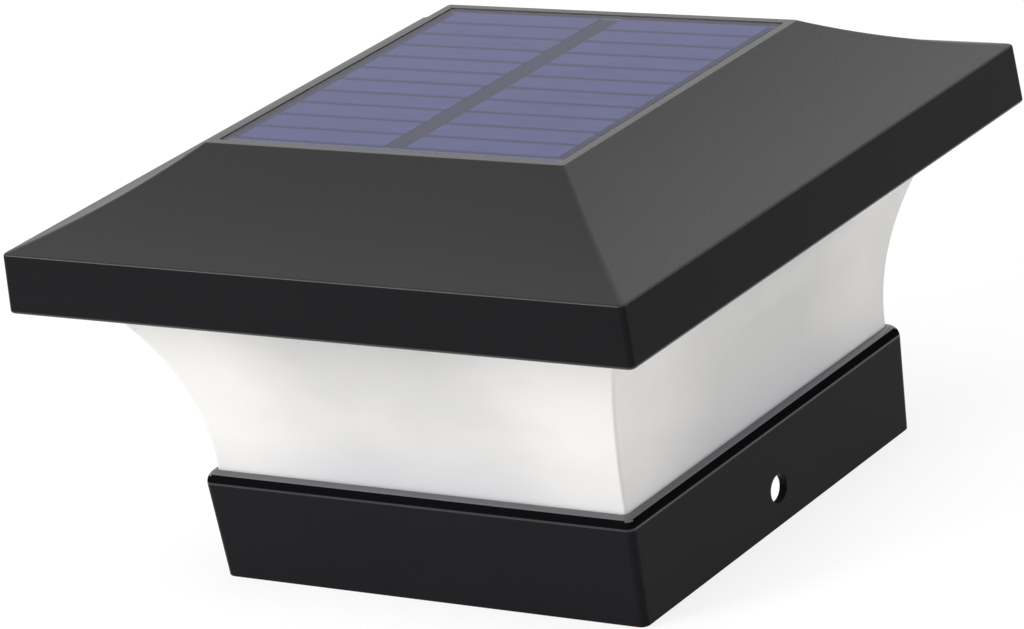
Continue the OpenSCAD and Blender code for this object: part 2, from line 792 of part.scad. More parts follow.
module battery_lead_red() color("#b02020") battery_lead(1);
module battery_lead_black() color("#151515") battery_lead(-1);

module battery_door() color("#e4e4df") difference() {
    union() {
        translate([-door_screw_x, -box_w / 2 - door_lip, box_z - door_t])
            cube([2 * door_screw_x, box_w + 2 * door_lip, door_t]);
        at_door_screws() translate([0, 0, box_z - door_t])
            cylinder(r = post_r + door_end, h = door_t);
    }
    at_door_screws() translate([0, 0, box_z - door_t - eps])
        cylinder(r = screw_r + hole_gap, h = door_t + 2 * eps);
}

module battery_door_screws() color("#b9bcc0") at_door_screws()
    translate([0, 0, box_z - door_t]) case_screw(door_screw_len);

// ---- control board ----

module control_board() color("#2d6b3c") difference() {
    translate([-control_len / 2, control_front, control_z])
        cube([control_len, control_w, control_t]);
    at_standoffs() translate([0, 0, control_z - eps])
        cylinder(r = board_screw_r + hole_gap, h = control_t + 2 * eps);
}

module control_board_screws() color("#b9bcc0") at_standoffs()
    translate([0, 0, control_top]) mirror([0, 0, 1])
        board_screw(control_t + standoff_h - tip_gap);

// A small part that stands on the board, placed from the board's centre.
module on_board(at) translate([at[0], control_y + at[1], control_top]) children();

module control_chip() color("#202022") on_board(chip_at) {
    translate([-chip_len / 2, -chip_w / 2, chip_lift]) cube([chip_len, chip_w, chip_h]);
    for (side = [0, 1], k = [0 : leg_count - 1])
        mirror([0, side, 0])
            translate([(k - (leg_count - 1) / 2) * leg_pitch - leg_w / 2, chip_w / 2, 0])
                cube([leg_w, leg_len, leg_t]);
}

module choke_core() color("#3b3b40") on_board(choke_at) {
    cylinder(d = choke_d, h = choke_disc_t);
    cylinder(d = choke_stem_d, h = choke_h);
    translate([0, 0, choke_h - choke_disc_t]) cylinder(d = choke_d, h = choke_disc_t);
}

module choke_coil() color("#b06a35") on_board(choke_at) {
    h = choke_h - 2 * (choke_disc_t + choke_gap);
    translate([0, 0, choke_disc_t + choke_gap]) difference() {
        cylinder(d = choke_coil_d, h = h);
        translate([0, 0, -eps]) cylinder(d = choke_stem_d + 2 * choke_gap, h = h + 2 * eps);
    }
}

module capacitor() color("#2a3a66") on_board(capacitor_at) cylinder(d = capacitor_d, h = capacitor_h);

module diode() color("#262626") on_board(diode_at)
    translate([-diode_len / 2, -diode_w / 2, 0]) cube([diode_len, diode_w, diode_h]);

// ---- slide switch ----

module switch_case() color("#c4c7ca") difference() {
    h = control_z - switch_z;
    translate([switch_x - switch_len / 2, switch_y - switch_w / 2, switch_z])
        cube([switch_len, switch_w, h]);
    translate([
        switch_x - switch_len / 2 + switch_sheet,
        switch_y - switch_w / 2 + switch_sheet,
        switch_z + switch_sheet
    ]) cube([switch_len - 2 * switch_sheet, switch_w - 2 * switch_sheet, h - 2 * switch_sheet]);
    translate([switch_x - stem_slot / 2, switch_y - stem_w / 2 - slider_gap, switch_z - eps])
        cube([stem_slot, stem_w + 2 * slider_gap, switch_sheet + 2 * eps]);
}

module switch_slider() color("#f4f4f4") {
    half_w = switch_w / 2 - switch_sheet - slider_gap;
    bottom = tray_z - stem_reach;
    translate([slider_x - slider_len / 2, switch_y - half_w, slider_z])
        cube([slider_len, 2 * half_w, slider_h]);
    translate([slider_x - stem_len / 2, switch_y - stem_w / 2, bottom])
        cube([stem_len, stem_w, slider_z + slider_h / 2 - bottom]);
}

// ---- light boards ----

// A light board, in front of the middle (-1) or behind it (1).
module led_board(sy) difference() {
    translate([-led_board_len / 2, sy * led_board_y - led_board_w / 2, led_board_z])
        cube([led_board_len, led_board_w, led_board_t]);
    for (sx = [-1, 1]) translate([sx * led_screw_x, sy * led_board_y, led_board_z - eps])
        cylinder(r = board_screw_r + hole_gap, h = led_board_t + 2 * eps);
}

module led_board_front() color("#f5f6f2") led_board(-1);
module led_board_rear() color("#f5f6f2") led_board(1);

module at_leds() {
    for (sy = [-1, 1], i = [0 : led_count - 1])
        translate([(i - (led_count - 1) / 2) * led_pitch, sy * led_board_y, led_z]) children();
}

module led_bodies() color("#e9e9e4") at_leds() difference() {
    translate([-led_len / 2, -led_w / 2, 0]) cube([led_len, led_w, led_h]);
    translate([0, 0, -eps]) cylinder(d = led_window_d, h = led_cup_depth + eps);
}

module led_windows() color("#e8c93c") at_leds()
    translate([0, 0, led_window_sink]) cylinder(d = led_window_d, h = led_cup_depth - led_window_sink);

module led_board_screws() color("#b9bcc0") at_led_screws()
    translate([0, 0, led_board_z]) board_screw(led_board_t + tray_t + led_screw_proud);

// The leads of the light boards, on the outer (1) or inner (-1) side of each pair. The rear
// board's lead goes straight under the control board, and the front board's lead goes round the
// end of the battery box.
module led_lead(side) {
    off = side * pair_half;
    z = tray_top + lead_lift + lead_r;
    up = tray_top + lead_r;
    under = control_z - lead_r;
    joint_x = control_len / 2 - led_joint_x;
    front_y = control_front + led_joint_y + off;
    rear_y = control_front + led_joint_y + led_joint_step - off;
    round_x = door_screw_x + post_r + lead_clear + off;
    lead([
        [led_lead_x + off, led_board_y, tray_z],
        [led_lead_x + off, led_board_y, up],
        [led_lead_x - lead_turn + off, led_board_y - lead_turn / 2 - off, z],
        [joint_x + lead_turn, rear_y, z],
        [joint_x, rear_y, under],
        [joint_x, rear_y, control_z]
    ]);
    lead([
        [led_lead_x + off, -led_board_y, tray_z],
        [led_lead_x + off, -led_board_y, up],
        [led_lead_x + lead_turn / 2 + off, -led_board_y + lead_turn, z],
        [round_x, -box_w / 2 - lead_turn, z],
        [round_x, box_w / 2 - lead_turn, z],
        [joint_x + 3 * lead_turn, front_y, z],
        [joint_x + lead_turn, front_y, z],
        [joint_x, front_y, under],
        [joint_x, front_y, control_z]
    ]);
}

module led_lead_red() color("#b02020") led_lead(1);
module led_lead_black() color("#151515") led_lead(-1);

// ---- diffuser ----

module diffuser_profile(inset, bottom, top) {
    bar(waist_half - inset, bottom, collar_h);
    difference() {
        bar(flange_half, collar_h, top);
        both_sides() translate([flare_x, collar_h]) circle(r = flare_r + inset, $fn = ARC);
    }
}

module diffuser() color("#f4f5f3") difference() {
    union() {
        difference() {
            union() {
                four_sided() diffuser_profile(0, ledge_z, flange_z);
                square_block(flange_half, flange_z, flange_top);
            }
            four_sided() diffuser_profile(diffuser_wall, ledge_z - eps, flange_top + eps);
        }
        at_corners(foot_screw_at) translate([0, 0, ledge_z]) cylinder(r = post_r, h = foot_post_h);
    }
    at_corners(foot_screw_at) translate([0, 0, ledge_z - eps])
        cylinder(r = screw_r + thread_gap, h = eps + foot_post_h - blind_floor);
    at_corners(flange_screw_at) translate([0, 0, flange_z - eps])
        cylinder(r = screw_r + hole_gap, h = flange_t + 2 * eps);
}

module flange_screws() color("#b9bcc0") at_corners(flange_screw_at)
    translate([0, 0, flange_z]) case_screw(flange_t + flange_bite);

// ---- base collar ----

module collar_profile() difference() {
    polygon([
        [-foot_half, 0], [foot_half, 0], [shoulder_half, shoulder_z], [shoulder_half, collar_h],
        [-shoulder_half, collar_h], [-shoulder_half, shoulder_z]
    ]);
    both_sides() translate([shoulder_half - shoulder_r, shoulder_z]) difference() {
        square(shoulder_r + eps);
        circle(r = shoulder_r);
    }
}

// The opening in the ledge, which leaves a pad in each corner for the screws.
module throat() difference() {
    square_block(throat_half, socket_depth - eps, ledge_z + eps);
    each_corner() translate([pad_from, pad_from, socket_depth - 2 * eps])
        cube([socket_half, socket_half, ledge_t + 4 * eps]);
}

module base_collar() color("#232327") difference() {
    four_sided() collar_profile();
    square_block(socket_half, -eps, socket_depth);
    throat();
    square_block(rebate_half, ledge_z, collar_h + eps);
    translate([-roof_w / 2, 0, side_hole_z]) rotate([0, 90, 0]) cylinder(d = side_hole_d, h = roof_w);
    at_corners(foot_screw_at) translate([0, 0, socket_depth - eps]) {
        cylinder(r = screw_r + hole_gap, h = ledge_t + 2 * eps);
        cylinder(r = head_r + sink_gap, h = head_recess + eps);
    }
}

module collar_screws() color("#b9bcc0") at_corners(foot_screw_at)
    translate([0, 0, socket_depth + head_recess]) case_screw(foot_screw_len);

// ---- assembly ----

roof_cap();
panel_glaze();
solar_cells();
panel_board();
panel_tape();
wire_seal();
panel_lead_red();
panel_lead_black();
roof_gasket();
tray();
tray_screws();
battery_can();
battery_sleeve();
battery_spring();
spring_plate();
nub_plate();
battery_lead_red();
battery_lead_black();
battery_door();
battery_door_screws();
control_board();
control_chip();
choke_coil();
choke_core();
capacitor();
diode();
control_board_screws();
switch_case();
switch_slider();
led_board_front();
led_board_rear();
led_bodies();
led_windows();
led_board_screws();
led_lead_red();
led_lead_black();
diffuser();
flange_screws();
base_collar();
collar_screws();
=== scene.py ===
"""Looks of a solar deck post cap light.

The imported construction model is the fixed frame, and this script dresses it. The roof, the
diffuser, the collar, the resin over the solar cells and all screws are modelled here, as the
mouldings and fasteners that they are. The other pieces keep their construction shape or a copy
of it with softened edges. Every piece gets the finish of its slot.

Lengths are in metres, Z is up, and the origin is the centre of the collar's foot.
"""

import logging
import math
from collections.abc import Callable, Iterable, Sequence
from dataclasses import dataclass, field
from enum import Enum

import bmesh
import bpy
from mathutils import Matrix, Vector


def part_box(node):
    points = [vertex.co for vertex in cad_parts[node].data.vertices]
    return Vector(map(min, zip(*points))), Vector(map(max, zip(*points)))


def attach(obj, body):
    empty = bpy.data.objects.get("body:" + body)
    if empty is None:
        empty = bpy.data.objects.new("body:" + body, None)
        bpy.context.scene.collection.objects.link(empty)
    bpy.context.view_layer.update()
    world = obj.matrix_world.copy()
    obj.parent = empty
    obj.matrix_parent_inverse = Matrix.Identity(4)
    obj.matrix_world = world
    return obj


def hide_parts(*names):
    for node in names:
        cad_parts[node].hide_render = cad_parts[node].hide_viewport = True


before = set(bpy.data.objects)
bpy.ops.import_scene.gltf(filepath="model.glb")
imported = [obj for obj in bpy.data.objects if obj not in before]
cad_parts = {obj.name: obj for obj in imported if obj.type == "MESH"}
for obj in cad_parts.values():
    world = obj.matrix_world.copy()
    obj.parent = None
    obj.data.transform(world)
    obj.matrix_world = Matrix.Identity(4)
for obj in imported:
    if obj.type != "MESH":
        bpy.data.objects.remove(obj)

MM = 0.001
HOUSING = "housing"
NEAR = 0.001 * MM  # heights that differ by less are the same
UPRIGHT = 0.9  # least Z of a direction that counts as upright
LEVEL = 0.1  # most Z of a direction that counts as level
STRAIGHT_UP = 0.99  # least Z of the normal of a flat upper face
NOISE_LIMITS = (0.3, 0.7)  # nearly all of a soft noise lies between these
ROUND = 0.5  # profile of a bevel that follows a circle

Point = tuple[float, float]
Pair = tuple[float, float]
Triple = tuple[float, float, float]
Colour = tuple[float, float, float]
Socket = bpy.types.NodeSocket
Test = Callable[[Vector, Vector], bool]

log = logging.getLogger("post_cap_light")


def srgb(red: int, green: int, blue: int) -> Colour:
    """Turns a colour as a screen shows it into linear light.

    Args:
        red: Red from 0 to 255.
        green: Green from 0 to 255.
        blue: Blue from 0 to 255.

    Returns:
        The three channels, each from 0 to 1.
    """
    knee, slope, offset, power = 0.04045, 12.92, 0.055, 2.4
    shares = (red / 255, green / 255, blue / 255)
    return tuple(
        share / slope if share <= knee else ((share + offset) / (1 + offset)) ** power
        for share in shares
    )


# ---- finishes ----


class Skin:
    """One material's nodes, with the few moves that the finishes share."""

    def __init__(self, name: str, colour: Colour, roughness: float, shine: float) -> None:
        """Makes the material.

        Args:
            name: The material's name.
            colour: Base colour in linear light.
            roughness: Roughness from 0 to 1.
            shine: Specular level, which is 0.5 on common plastic.
        """
        self.material = bpy.data.materials.new(name)
        self.material.use_nodes = True
        self.nodes = self.material.node_tree.nodes
        self.links = self.material.node_tree.links
        self.surface = self.nodes["Principled BSDF"]
        self.coordinates = self.nodes.new("ShaderNodeTexCoord").outputs["Object"]
        self.put("Base Color", colour)
        self.put("Roughness", roughness)
        self.put("Specular IOR Level", shine)

    def put(self, name: str, value: float | Colour | Socket) -> None:
        """Sets one of the surface's sockets.

        Args:
            name: The socket's name.
            value: A number, a colour or another node's output.
        """
        self.feed(self.surface.inputs[name], value)

    def feed(self, target: Socket, value: float | Colour | Socket) -> None:
        """Sets a socket of any node.

        Args:
            target: The socket.
            value: A number, a colour or another node's output.
        """
        if isinstance(value, Socket):
            self.links.new(value, target)
        elif isinstance(value, tuple) and target.type == "RGBA":
            target.default_value = (*value, 1.0)
        else:
            target.default_value = value

    def scaled(self, size: Sequence[float], origin: Sequence[float] = (0.0, 0.0, 0.0)) -> Socket:
        """Coordinates in which a pattern repeats about once every size metres.

        Args:
            size: Size of one patch along X, Y and Z.
            origin: Place that becomes zero.

        Returns:
            The scaled coordinates.
        """
        mapping = self.nodes.new("ShaderNodeMapping")
        self.feed(mapping.inputs["Vector"], self.coordinates)
        mapping.inputs["Scale"].default_value = tuple(1 / patch for patch in size)
        shift = tuple(-zero / patch for zero, patch in zip(origin, size))
        mapping.inputs["Location"].default_value = shift
        return mapping.outputs["Vector"]

    def part(self, vector: Socket, axis: str) -> Socket:
        """One part of a vector.

        Args:
            vector: The vector.
            axis: "X", "Y" or "Z".

        Returns:
            Its part along that axis.
        """
        split = self.nodes.new("ShaderNodeSeparateXYZ")
        self.feed(split.inputs[0], vector)
        return split.outputs[axis]

    def eased(self, value: Socket, start: float, end: float) -> Socket:
        """Goes from 0 to 1 between two values, softly at both ends.

        Args:
            value: The value.
            start: Value that gives 0.
            end: Value that gives 1.

        Returns:
            The share of the way.
        """
        share = self.spread(value, 0.0, 1.0, start, end)
        share.node.interpolation_type = "SMOOTHSTEP"
        return share

    def along(self, axis: str, start: float, end: float) -> Socket:
        """Runs softly from 0 at one place along an axis to 1 at another."""
        return self.eased(self.part(self.coordinates, axis), start, end)

    def from_middle(self, start: float, end: float) -> Socket:
        """Runs from 0 amid each upright side to 1 toward the corners.

        Args:
            start: Distance from the side's middle at which it is 0.
            end: Distance at which it is 1.

        Returns:
            The share of the way.
        """
        width, depth = (self.size_of(self.part(self.coordinates, axis)) for axis in "XY")
        return self.eased(self.worked(width, depth, "MINIMUM"), start, end)

    def worked(self, first: Socket, second: float | Socket, how: str = "ADD") -> Socket:
        """Works out a value from two others.

        Args:
            first: A value.
            second: A number or a value.
            how: The Math node's operation.

        Returns:
            The result.
        """
        node = self.nodes.new("ShaderNodeMath")
        node.operation = how
        self.feed(node.inputs[0], first)
        self.feed(node.inputs[1], second)
        return node.outputs[0]

    def size_of(self, value: Socket) -> Socket:
        """A value without its sign."""
        return self.worked(value, 0.0, "ABSOLUTE")

    def clouds(self, size: float | Sequence[float], detail: float = 3.0) -> Socket:
        """Soft noise.

        Args:
            size: Size of its patches, one for all axes or one for each.
            detail: How many finer layers it has.

        Returns:
            The noise, about 0.5 on average.
        """
        noise = self.nodes.new("ShaderNodeTexNoise")
        noise.inputs["Scale"].default_value = 1.0
        noise.inputs["Detail"].default_value = detail
        sizes = (size,) * 3 if isinstance(size, float) else size
        self.feed(noise.inputs["Vector"], self.scaled(sizes))
        return noise.outputs["Fac"]

    def bands(self, axis: str, spacing: float) -> Socket:
        """Even bands across one axis.

        Args:
            axis: "X", "Y" or "Z".
            spacing: Distance from one band to the next.

        Returns:
            A wave from 0 to 1.
        """
        wave = self.nodes.new("ShaderNodeTexWave")
        wave.bands_direction = axis
        one_per_unit = math.pi / 10  # the node's scale at which a band is one unit wide
        wave.inputs["Scale"].default_value = one_per_unit
        self.feed(wave.inputs["Vector"], self.scaled((spacing,) * 3))
        return wave.outputs["Fac"]

    def spread(
        self, value: Socket, low: float, high: float, start: float = 0.0, end: float = 1.0
    ) -> Socket:
        """Maps a value from one range to another, and keeps it there.

        Args:
            value: The value to map.
            low: Result at start.
            high: Result at end.
            start: Value that gives low.
            end: Value that gives high.

        Returns:
            The mapped value.
        """
        node = self.nodes.new("ShaderNodeMapRange")
        for name, number in (("From Min", start), ("From Max", end), ("To Min", low), ("To Max", high)):
            node.inputs[name].default_value = number
        self.feed(node.inputs["Value"], value)
        return node.outputs["Result"]

    def varied(self, noise: Socket, low: float = 0.0, high: float = 1.0) -> Socket:
        """Maps soft noise to a range that it fills from end to end."""
        return self.spread(noise, low, high, *NOISE_LIMITS)

    def roughen(self, noise: Socket, roughness: float, less: float, more: float) -> None:
        """Lets soft noise lower and raise the roughness by up to less and more."""
        self.put("Roughness", self.varied(noise, roughness - less, roughness + more))

    def mixed(self, share: Socket, first: Colour | Socket, second: Colour | Socket) -> Socket:
        """Goes from one colour to another.

        Args:
            share: 0 for the first colour, 1 for the second.
            first: A colour or a node's output.
            second: A colour or a node's output.

        Returns:
            The mixed colour.
        """
        node = self.nodes.new("ShaderNodeMix")
        node.data_type = "RGBA"
        # The node has sockets for each kind of value, and these are the ones for colours.
        factor, colour_a, colour_b = node.inputs[0], node.inputs[6], node.inputs[7]
        self.feed(factor, share)
        self.feed(colour_a, first)
        self.feed(colour_b, second)
        return node.outputs[2]

    def relief(self, height: Socket, depth: float) -> None:
        """Raises the surface where height is high, on top of any relief that it has.

        Args:
            height: A value from 0 to 1.
            depth: By how many metres it raises the surface.
        """
        bump = self.nodes.new("ShaderNodeBump")
        bump.inputs["Distance"].default_value = depth
        self.feed(bump.inputs["Height"], height)
        normal = self.surface.inputs["Normal"]
        if normal.is_linked:
            self.feed(bump.inputs["Normal"], normal.links[0].from_socket)
        self.put("Normal", bump.outputs["Normal"])


def shade(colour: Colour, by: float) -> Colour:
    """A colour made lighter or darker by a factor, and kept below white."""
    return tuple(min(1.0, channel * by) for channel in colour)


@dataclass(frozen=True)
class Finish:
    """What every finish has: a name, a main colour and a way to make its material."""

    name: str
    colour: Colour

    def make(self) -> bpy.types.Material:
        """Each finish builds its own material here."""
        raise NotImplementedError


@dataclass(frozen=True)
class MouldedPlastic(Finish):
    """Injection-moulded plastic with a fine grain from the tool, and slight flow marks."""

    roughness: float = 0.4
    shine: float = 0.5
    grain: float = 0.35 * MM
    relief: float = 0.006 * MM
    clouding: float = 0.06
    uneven: Pair = (0.05, 0.05)
    flow: Triple = (30 * MM, 30 * MM, 12 * MM)

    def make(self) -> bpy.types.Material:
        """Builds the material.

        Returns:
            The material.
        """
        skin = Skin(self.name, self.colour, self.roughness, self.shine)
        flow = skin.varied(skin.clouds(self.flow, detail=2.0))
        darker, lighter = shade(self.colour, 1 - self.clouding), shade(self.colour, 1 + self.clouding)
        skin.put("Base Color", skin.mixed(flow, darker, lighter))
        grain = skin.clouds(self.grain, detail=2.0)
        skin.roughen(grain, self.roughness, *self.uneven)
        skin.relief(grain, self.relief)
        return skin.material


@dataclass(frozen=True)
class GlossPlastic(MouldedPlastic):
    """Moulded plastic from a polished tool, which leaves hardly any grain."""

    grain: float = 0.5 * MM
    relief: float = 0.0015 * MM
    clouding: float = 0.04


@dataclass(frozen=True)
class FrostedPlastic(Finish):
    """Milky sand-blasted plastic with soft cloudy patches, and with painted shade amid each side and at
    its foot.
    """

    # the colour with painted shade, amid each side
    painted_middle_shade: Colour
    # the colour with painted shade, at the foot beside the collar
    foot: Colour
    foot_shade_heights: Pair = (19 * MM, 34 * MM)
    sides: Pair = (8 * MM, 42 * MM)
    corner_foot_shade: float = 0.45
    patchiness: float = 0.3
    patch: Triple = (34 * MM, 34 * MM, 18 * MM)
    blast: float = 0.22 * MM
    blast_depth: float = 0.012 * MM
    roughness: float = 0.42
    uneven: Pair = (0.06, 0.06)
    shine: float = 0.35

    def make(self) -> bpy.types.Material:
        """Builds the material.

        Returns:
            The material.
        """
        skin = Skin(self.name, self.colour, self.roughness, self.shine)
        patches = skin.varied(skin.clouds(self.patch), -self.patchiness, self.patchiness)
        near_corner = skin.from_middle(*self.sides)
        clear = skin.spread(skin.worked(near_corner, patches), 0.0, 1.0)
        # Painted shade: from the corners' colour to the darker colour amid each side, broken up by the
        # patches.
        shaded_milk = skin.mixed(clear, self.painted_middle_shade, self.colour)
        # Painted shade at the foot, weaker toward the corners.
        foot_shade_by_height = skin.along("Z", *reversed(self.foot_shade_heights))
        foot_shade_reach = skin.spread(near_corner, 1.0, self.corner_foot_shade)
        painted_foot_shade = skin.worked(foot_shade_by_height, foot_shade_reach, "MULTIPLY")
        skin.put("Base Color", skin.mixed(painted_foot_shade, shaded_milk, self.foot))
        grain = skin.clouds(self.blast, detail=2.0)
        skin.roughen(grain, self.roughness, *self.uneven)
        skin.relief(grain, self.blast_depth)
        return skin.material


@dataclass(frozen=True)
class SolarSilicon(Finish):
    """Dark blue cells under resin, each a little different, with fine fingers and darker edges."""

    other: Colour
    finger: Colour
    edge: Colour
    pitch: Pair
    origin: Triple
    roughness: float = 0.4
    uneven: Pair = (0.05, 0.1)
    shine: float = 0.0
    crystal: Triple = (9 * MM, 3 * MM, 3 * MM)
    cell_spread: float = 0.5
    finger_pitch: float = 1.1 * MM
    finger_from: float = 0.85
    finger_share: float = 0.07
    finger_depth: float = 0.003 * MM
    edge_share: Pair = (0.37, 0.45)

    def make(self) -> bpy.types.Material:
        """Builds the material.

        Returns:
            The material.
        """
        skin = Skin(self.name, self.colour, self.roughness, self.shine)
        cells = skin.scaled((*self.pitch, 1.0), self.origin)
        snap = skin.nodes.new("ShaderNodeVectorMath")
        snap.operation = "FLOOR"
        skin.feed(snap.inputs[0], cells)
        lot = skin.nodes.new("ShaderNodeTexWhiteNoise")
        skin.feed(lot.inputs["Vector"], snap.outputs["Vector"])
        crystals = skin.clouds(self.crystal)
        grown = skin.mixed(skin.varied(crystals), self.colour, self.other)
        chance = skin.spread(lot.outputs["Value"], 0.0, self.cell_spread)
        tone = skin.mixed(chance, grown, self.other)
        lines = skin.bands("X", self.finger_pitch)
        printed = skin.spread(lines, 0.0, self.finger_share, self.finger_from, 1.0)
        bright = skin.mixed(printed, tone, self.finger)
        in_cell = skin.worked(skin.part(cells, "Y"), 1.0, "FLOORED_MODULO")
        middle = 0.5
        from_middle = skin.size_of(skin.worked(in_cell, -middle))
        near_edge = skin.spread(from_middle, 0.0, 1.0, *self.edge_share)
        skin.put("Base Color", skin.mixed(near_edge, bright, self.edge))
        skin.roughen(crystals, self.roughness, *self.uneven)
        skin.relief(printed, self.finger_depth)
        return skin.material


@dataclass(frozen=True)
class ClearResin(Finish):
    """Clear potting resin. Its pale colour paints a reflection over what lies under it, more so at a
    low angle, on top of its own gloss.
    """

    # share of the painted reflection seen face on
    painted_reflection: float = 0.06
    # how much more painted reflection a grazing view gets
    glare: float = 1.0
    refraction: float = 1.5
    roughness: float = 0.15
    uneven: Pair = (0.03, 0.05)
    shine: float = 0.5
    ripple: float = 7 * MM
    ripple_depth: float = 0.02 * MM

    def make(self) -> bpy.types.Material:
        """Builds the material.

        Returns:
            The material.
        """
        skin = Skin(self.name, self.colour, self.roughness, self.shine)
        fresnel = skin.nodes.new("ShaderNodeFresnel")
        fresnel.inputs["IOR"].default_value = self.refraction
        inside = skin.nodes.new("ShaderNodeNewGeometry").outputs["Backfacing"]
        from_outside = skin.spread(inside, 1.0, 0.0)
        # Painted reflection: the pale colour's share grows toward a low angle, as a reflection would.
        painted_reflection = skin.spread(fresnel.outputs["Fac"], self.painted_reflection, self.painted_reflection + self.glare)
        skin.put("Alpha", skin.worked(painted_reflection, from_outside, "MULTIPLY"))
        ripples = skin.clouds(self.ripple, detail=1.0)
        skin.roughen(ripples, self.roughness, *self.uneven)
        skin.relief(ripples, self.ripple_depth)
        return skin.material


@dataclass(frozen=True)
class Laminate(Finish):
    """Glass-fibre board under solder resist, with a faint weave and faint tracks."""

    track: Colour
    roughness: float = 0.35
    shine: float = 0.5
    track_size: Triple = (5 * MM, 1.2 * MM, 5 * MM)
    track_limits: Pair = (0.56, 0.6)
    track_share: float = 0.5
    weave: float = 0.5 * MM
    weave_depth: float = 0.004 * MM

    def make(self) -> bpy.types.Material:
        """Builds the material.

        Returns:
            The material.
        """
        skin = Skin(self.name, self.colour, self.roughness, self.shine)
        patches = skin.clouds(self.track_size, detail=0.0)
        tracks = skin.spread(patches, 0.0, self.track_share, *self.track_limits)
        skin.put("Base Color", skin.mixed(tracks, self.colour, self.track))
        for axis in "XY":
            skin.relief(skin.bands(axis, self.weave), self.weave_depth)
        return skin.material


@dataclass(frozen=True)
class CellBoard(Finish):
    """The dark board under the cells, with a paler tinned strip along its front and rear ends."""

    strip: Colour
    strips: Pair
    blend: float = 0.3 * MM
    roughness: float = 0.5
    uneven: Pair = (0.05, 0.1)
    shine: float = 0.0
    paler: float = 1.12
    weave: float = 0.6 * MM
    weave_depth: float = 0.001 * MM

    def make(self) -> bpy.types.Material:
        """Builds the material.

        Returns:
            The material.
        """
        skin = Skin(self.name, self.colour, self.roughness, self.shine)
        front, rear = self.strips
        past_front = skin.along("Y", front + self.blend, front - self.blend)
        past_rear = skin.along("Y", rear - self.blend, rear + self.blend)
        tinned = skin.worked(past_front, past_rear)
        weave = skin.clouds(self.weave, detail=2.0)
        dark = skin.mixed(skin.varied(weave), self.colour, shade(self.colour, self.paler))
        skin.put("Base Color", skin.mixed(tinned, dark, self.strip))
        skin.roughen(weave, self.roughness, *self.uneven)
        skin.relief(skin.bands("X", self.weave), self.weave_depth)
        return skin.material


@dataclass(frozen=True)
class PlatedMetal(Finish):
    """Plated or drawn metal with fine streaks along one axis."""

    roughness: float = 0.28
    streak: Triple = (0.2 * MM, 0.2 * MM, 3 * MM)
    streak_depth: float = 0.003 * MM
    uneven: Pair = (0.08, 0.1)
    shine: float = 0.5
    darker: float = 0.82
    tarnish: float = 2 * MM
    tarnish_limits: Pair = (0.4, 0.75)

    def make(self) -> bpy.types.Material:
        """Builds the material.

        Returns:
            The material.
        """
        skin = Skin(self.name, self.colour, self.roughness, self.shine)
        skin.put("Metallic", 1.0)
        streaks = skin.clouds(self.streak, detail=2.0)
        skin.roughen(streaks, self.roughness, *self.uneven)
        tarnish = skin.spread(skin.clouds(self.tarnish), 0.0, 1.0, *self.tarnish_limits)
        skin.put("Base Color", skin.mixed(tarnish, self.colour, shade(self.colour, self.darker)))
        skin.relief(streaks, self.streak_depth)
        return skin.material


@dataclass(frozen=True)
class SoftSeal(Finish):
    """Rubber, sealant, tape or lead insulation, with a dull, slightly uneven skin whose low spots get
    painted shade.
    """

    roughness: float = 0.6
    lump: float = 1.5 * MM
    relief: float = 0.03 * MM
    uneven: Pair = (0.08, 0.08)
    shine: float = 0.4
    # how dark the painted shade in the low spots is
    darker: float = 0.85

    def make(self) -> bpy.types.Material:
        """Builds the material.

        Returns:
            The material.
        """
        skin = Skin(self.name, self.colour, self.roughness, self.shine)
        lumps = skin.clouds(self.lump)
        # Painted shade: the colour darkens where the relief is lowest.
        shaded_hollows = shade(self.colour, self.darker)
        skin.put("Base Color", skin.mixed(skin.varied(lumps), shaded_hollows, self.colour))
        skin.roughen(lumps, self.roughness, *self.uneven)
        skin.relief(lumps, self.relief)
        return skin.material


@dataclass(frozen=True)
class WoundWire(Finish):
    """Enamelled wire wound in close turns, with painted shade in the grooves between them."""

    pitch: float = 0.35 * MM
    depth: float = 0.1 * MM
    roughness: float = 0.25
    shine: float = 0.5
    # how dark the painted shade in the grooves is
    darker: float = 0.35

    def make(self) -> bpy.types.Material:
        """Builds the material.

        Returns:
            The material.
        """
        skin = Skin(self.name, self.colour, self.roughness, self.shine)
        skin.put("Metallic", 1.0)
        turns = skin.bands("Z", self.pitch)
        # Painted shade: the colour darkens where the relief is lowest, in the grooves between the
        # turns.
        skin.put("Base Color", skin.mixed(turns, shade(self.colour, self.darker), self.colour))
        skin.relief(turns, self.depth)
        return skin.material


@dataclass(frozen=True)
class Phosphor(Finish):
    """The grainy yellow window of a white lamp."""

    roughness: float = 0.5
    shine: float = 0.5
    grain: float = 0.12 * MM
    grain_depth: float = 0.02 * MM
    grain_limits: Pair = (0.35, 0.65)
    darker: float = 0.8

    def make(self) -> bpy.types.Material:
        """Builds the material.

        Returns:
            The material.
        """
        skin = Skin(self.name, self.colour, self.roughness, self.shine)
        grains = skin.clouds(self.grain, detail=2.0)
        share = skin.spread(grains, 0.0, 1.0, *self.grain_limits)
        skin.put("Base Color", skin.mixed(share, shade(self.colour, self.darker), self.colour))
        skin.relief(grains, self.grain_depth)
        return skin.material


class Slot(Enum):
    """The record's material slots."""

    ROOF = "roof_plastic"
    RESIN = "clear_resin"
    SILICON = "silicon"
    DARK_BOARD = "dark_laminate"
    TAPE = "tape"
    SEALANT = "sealant"
    RED = "lead_red"
    BLACK = "lead_black"
    GASKET = "gasket_rubber"
    WHITE = "white_plastic"
    SCREW = "screw_steel"
    CAN = "battery_steel"
    SLEEVE = "battery_sleeve"
    BRASS = "contact_brass"
    GREEN_BOARD = "green_laminate"
    WHITE_BOARD = "white_laminate"
    CHIP = "chip_resin"
    COPPER = "copper_wire"
    FERRITE = "ferrite"
    CAPACITOR = "capacitor_blue"
    PHOSPHOR = "phosphor"
    FROSTED = "frosted_plastic"
    COLLAR = "collar_plastic"


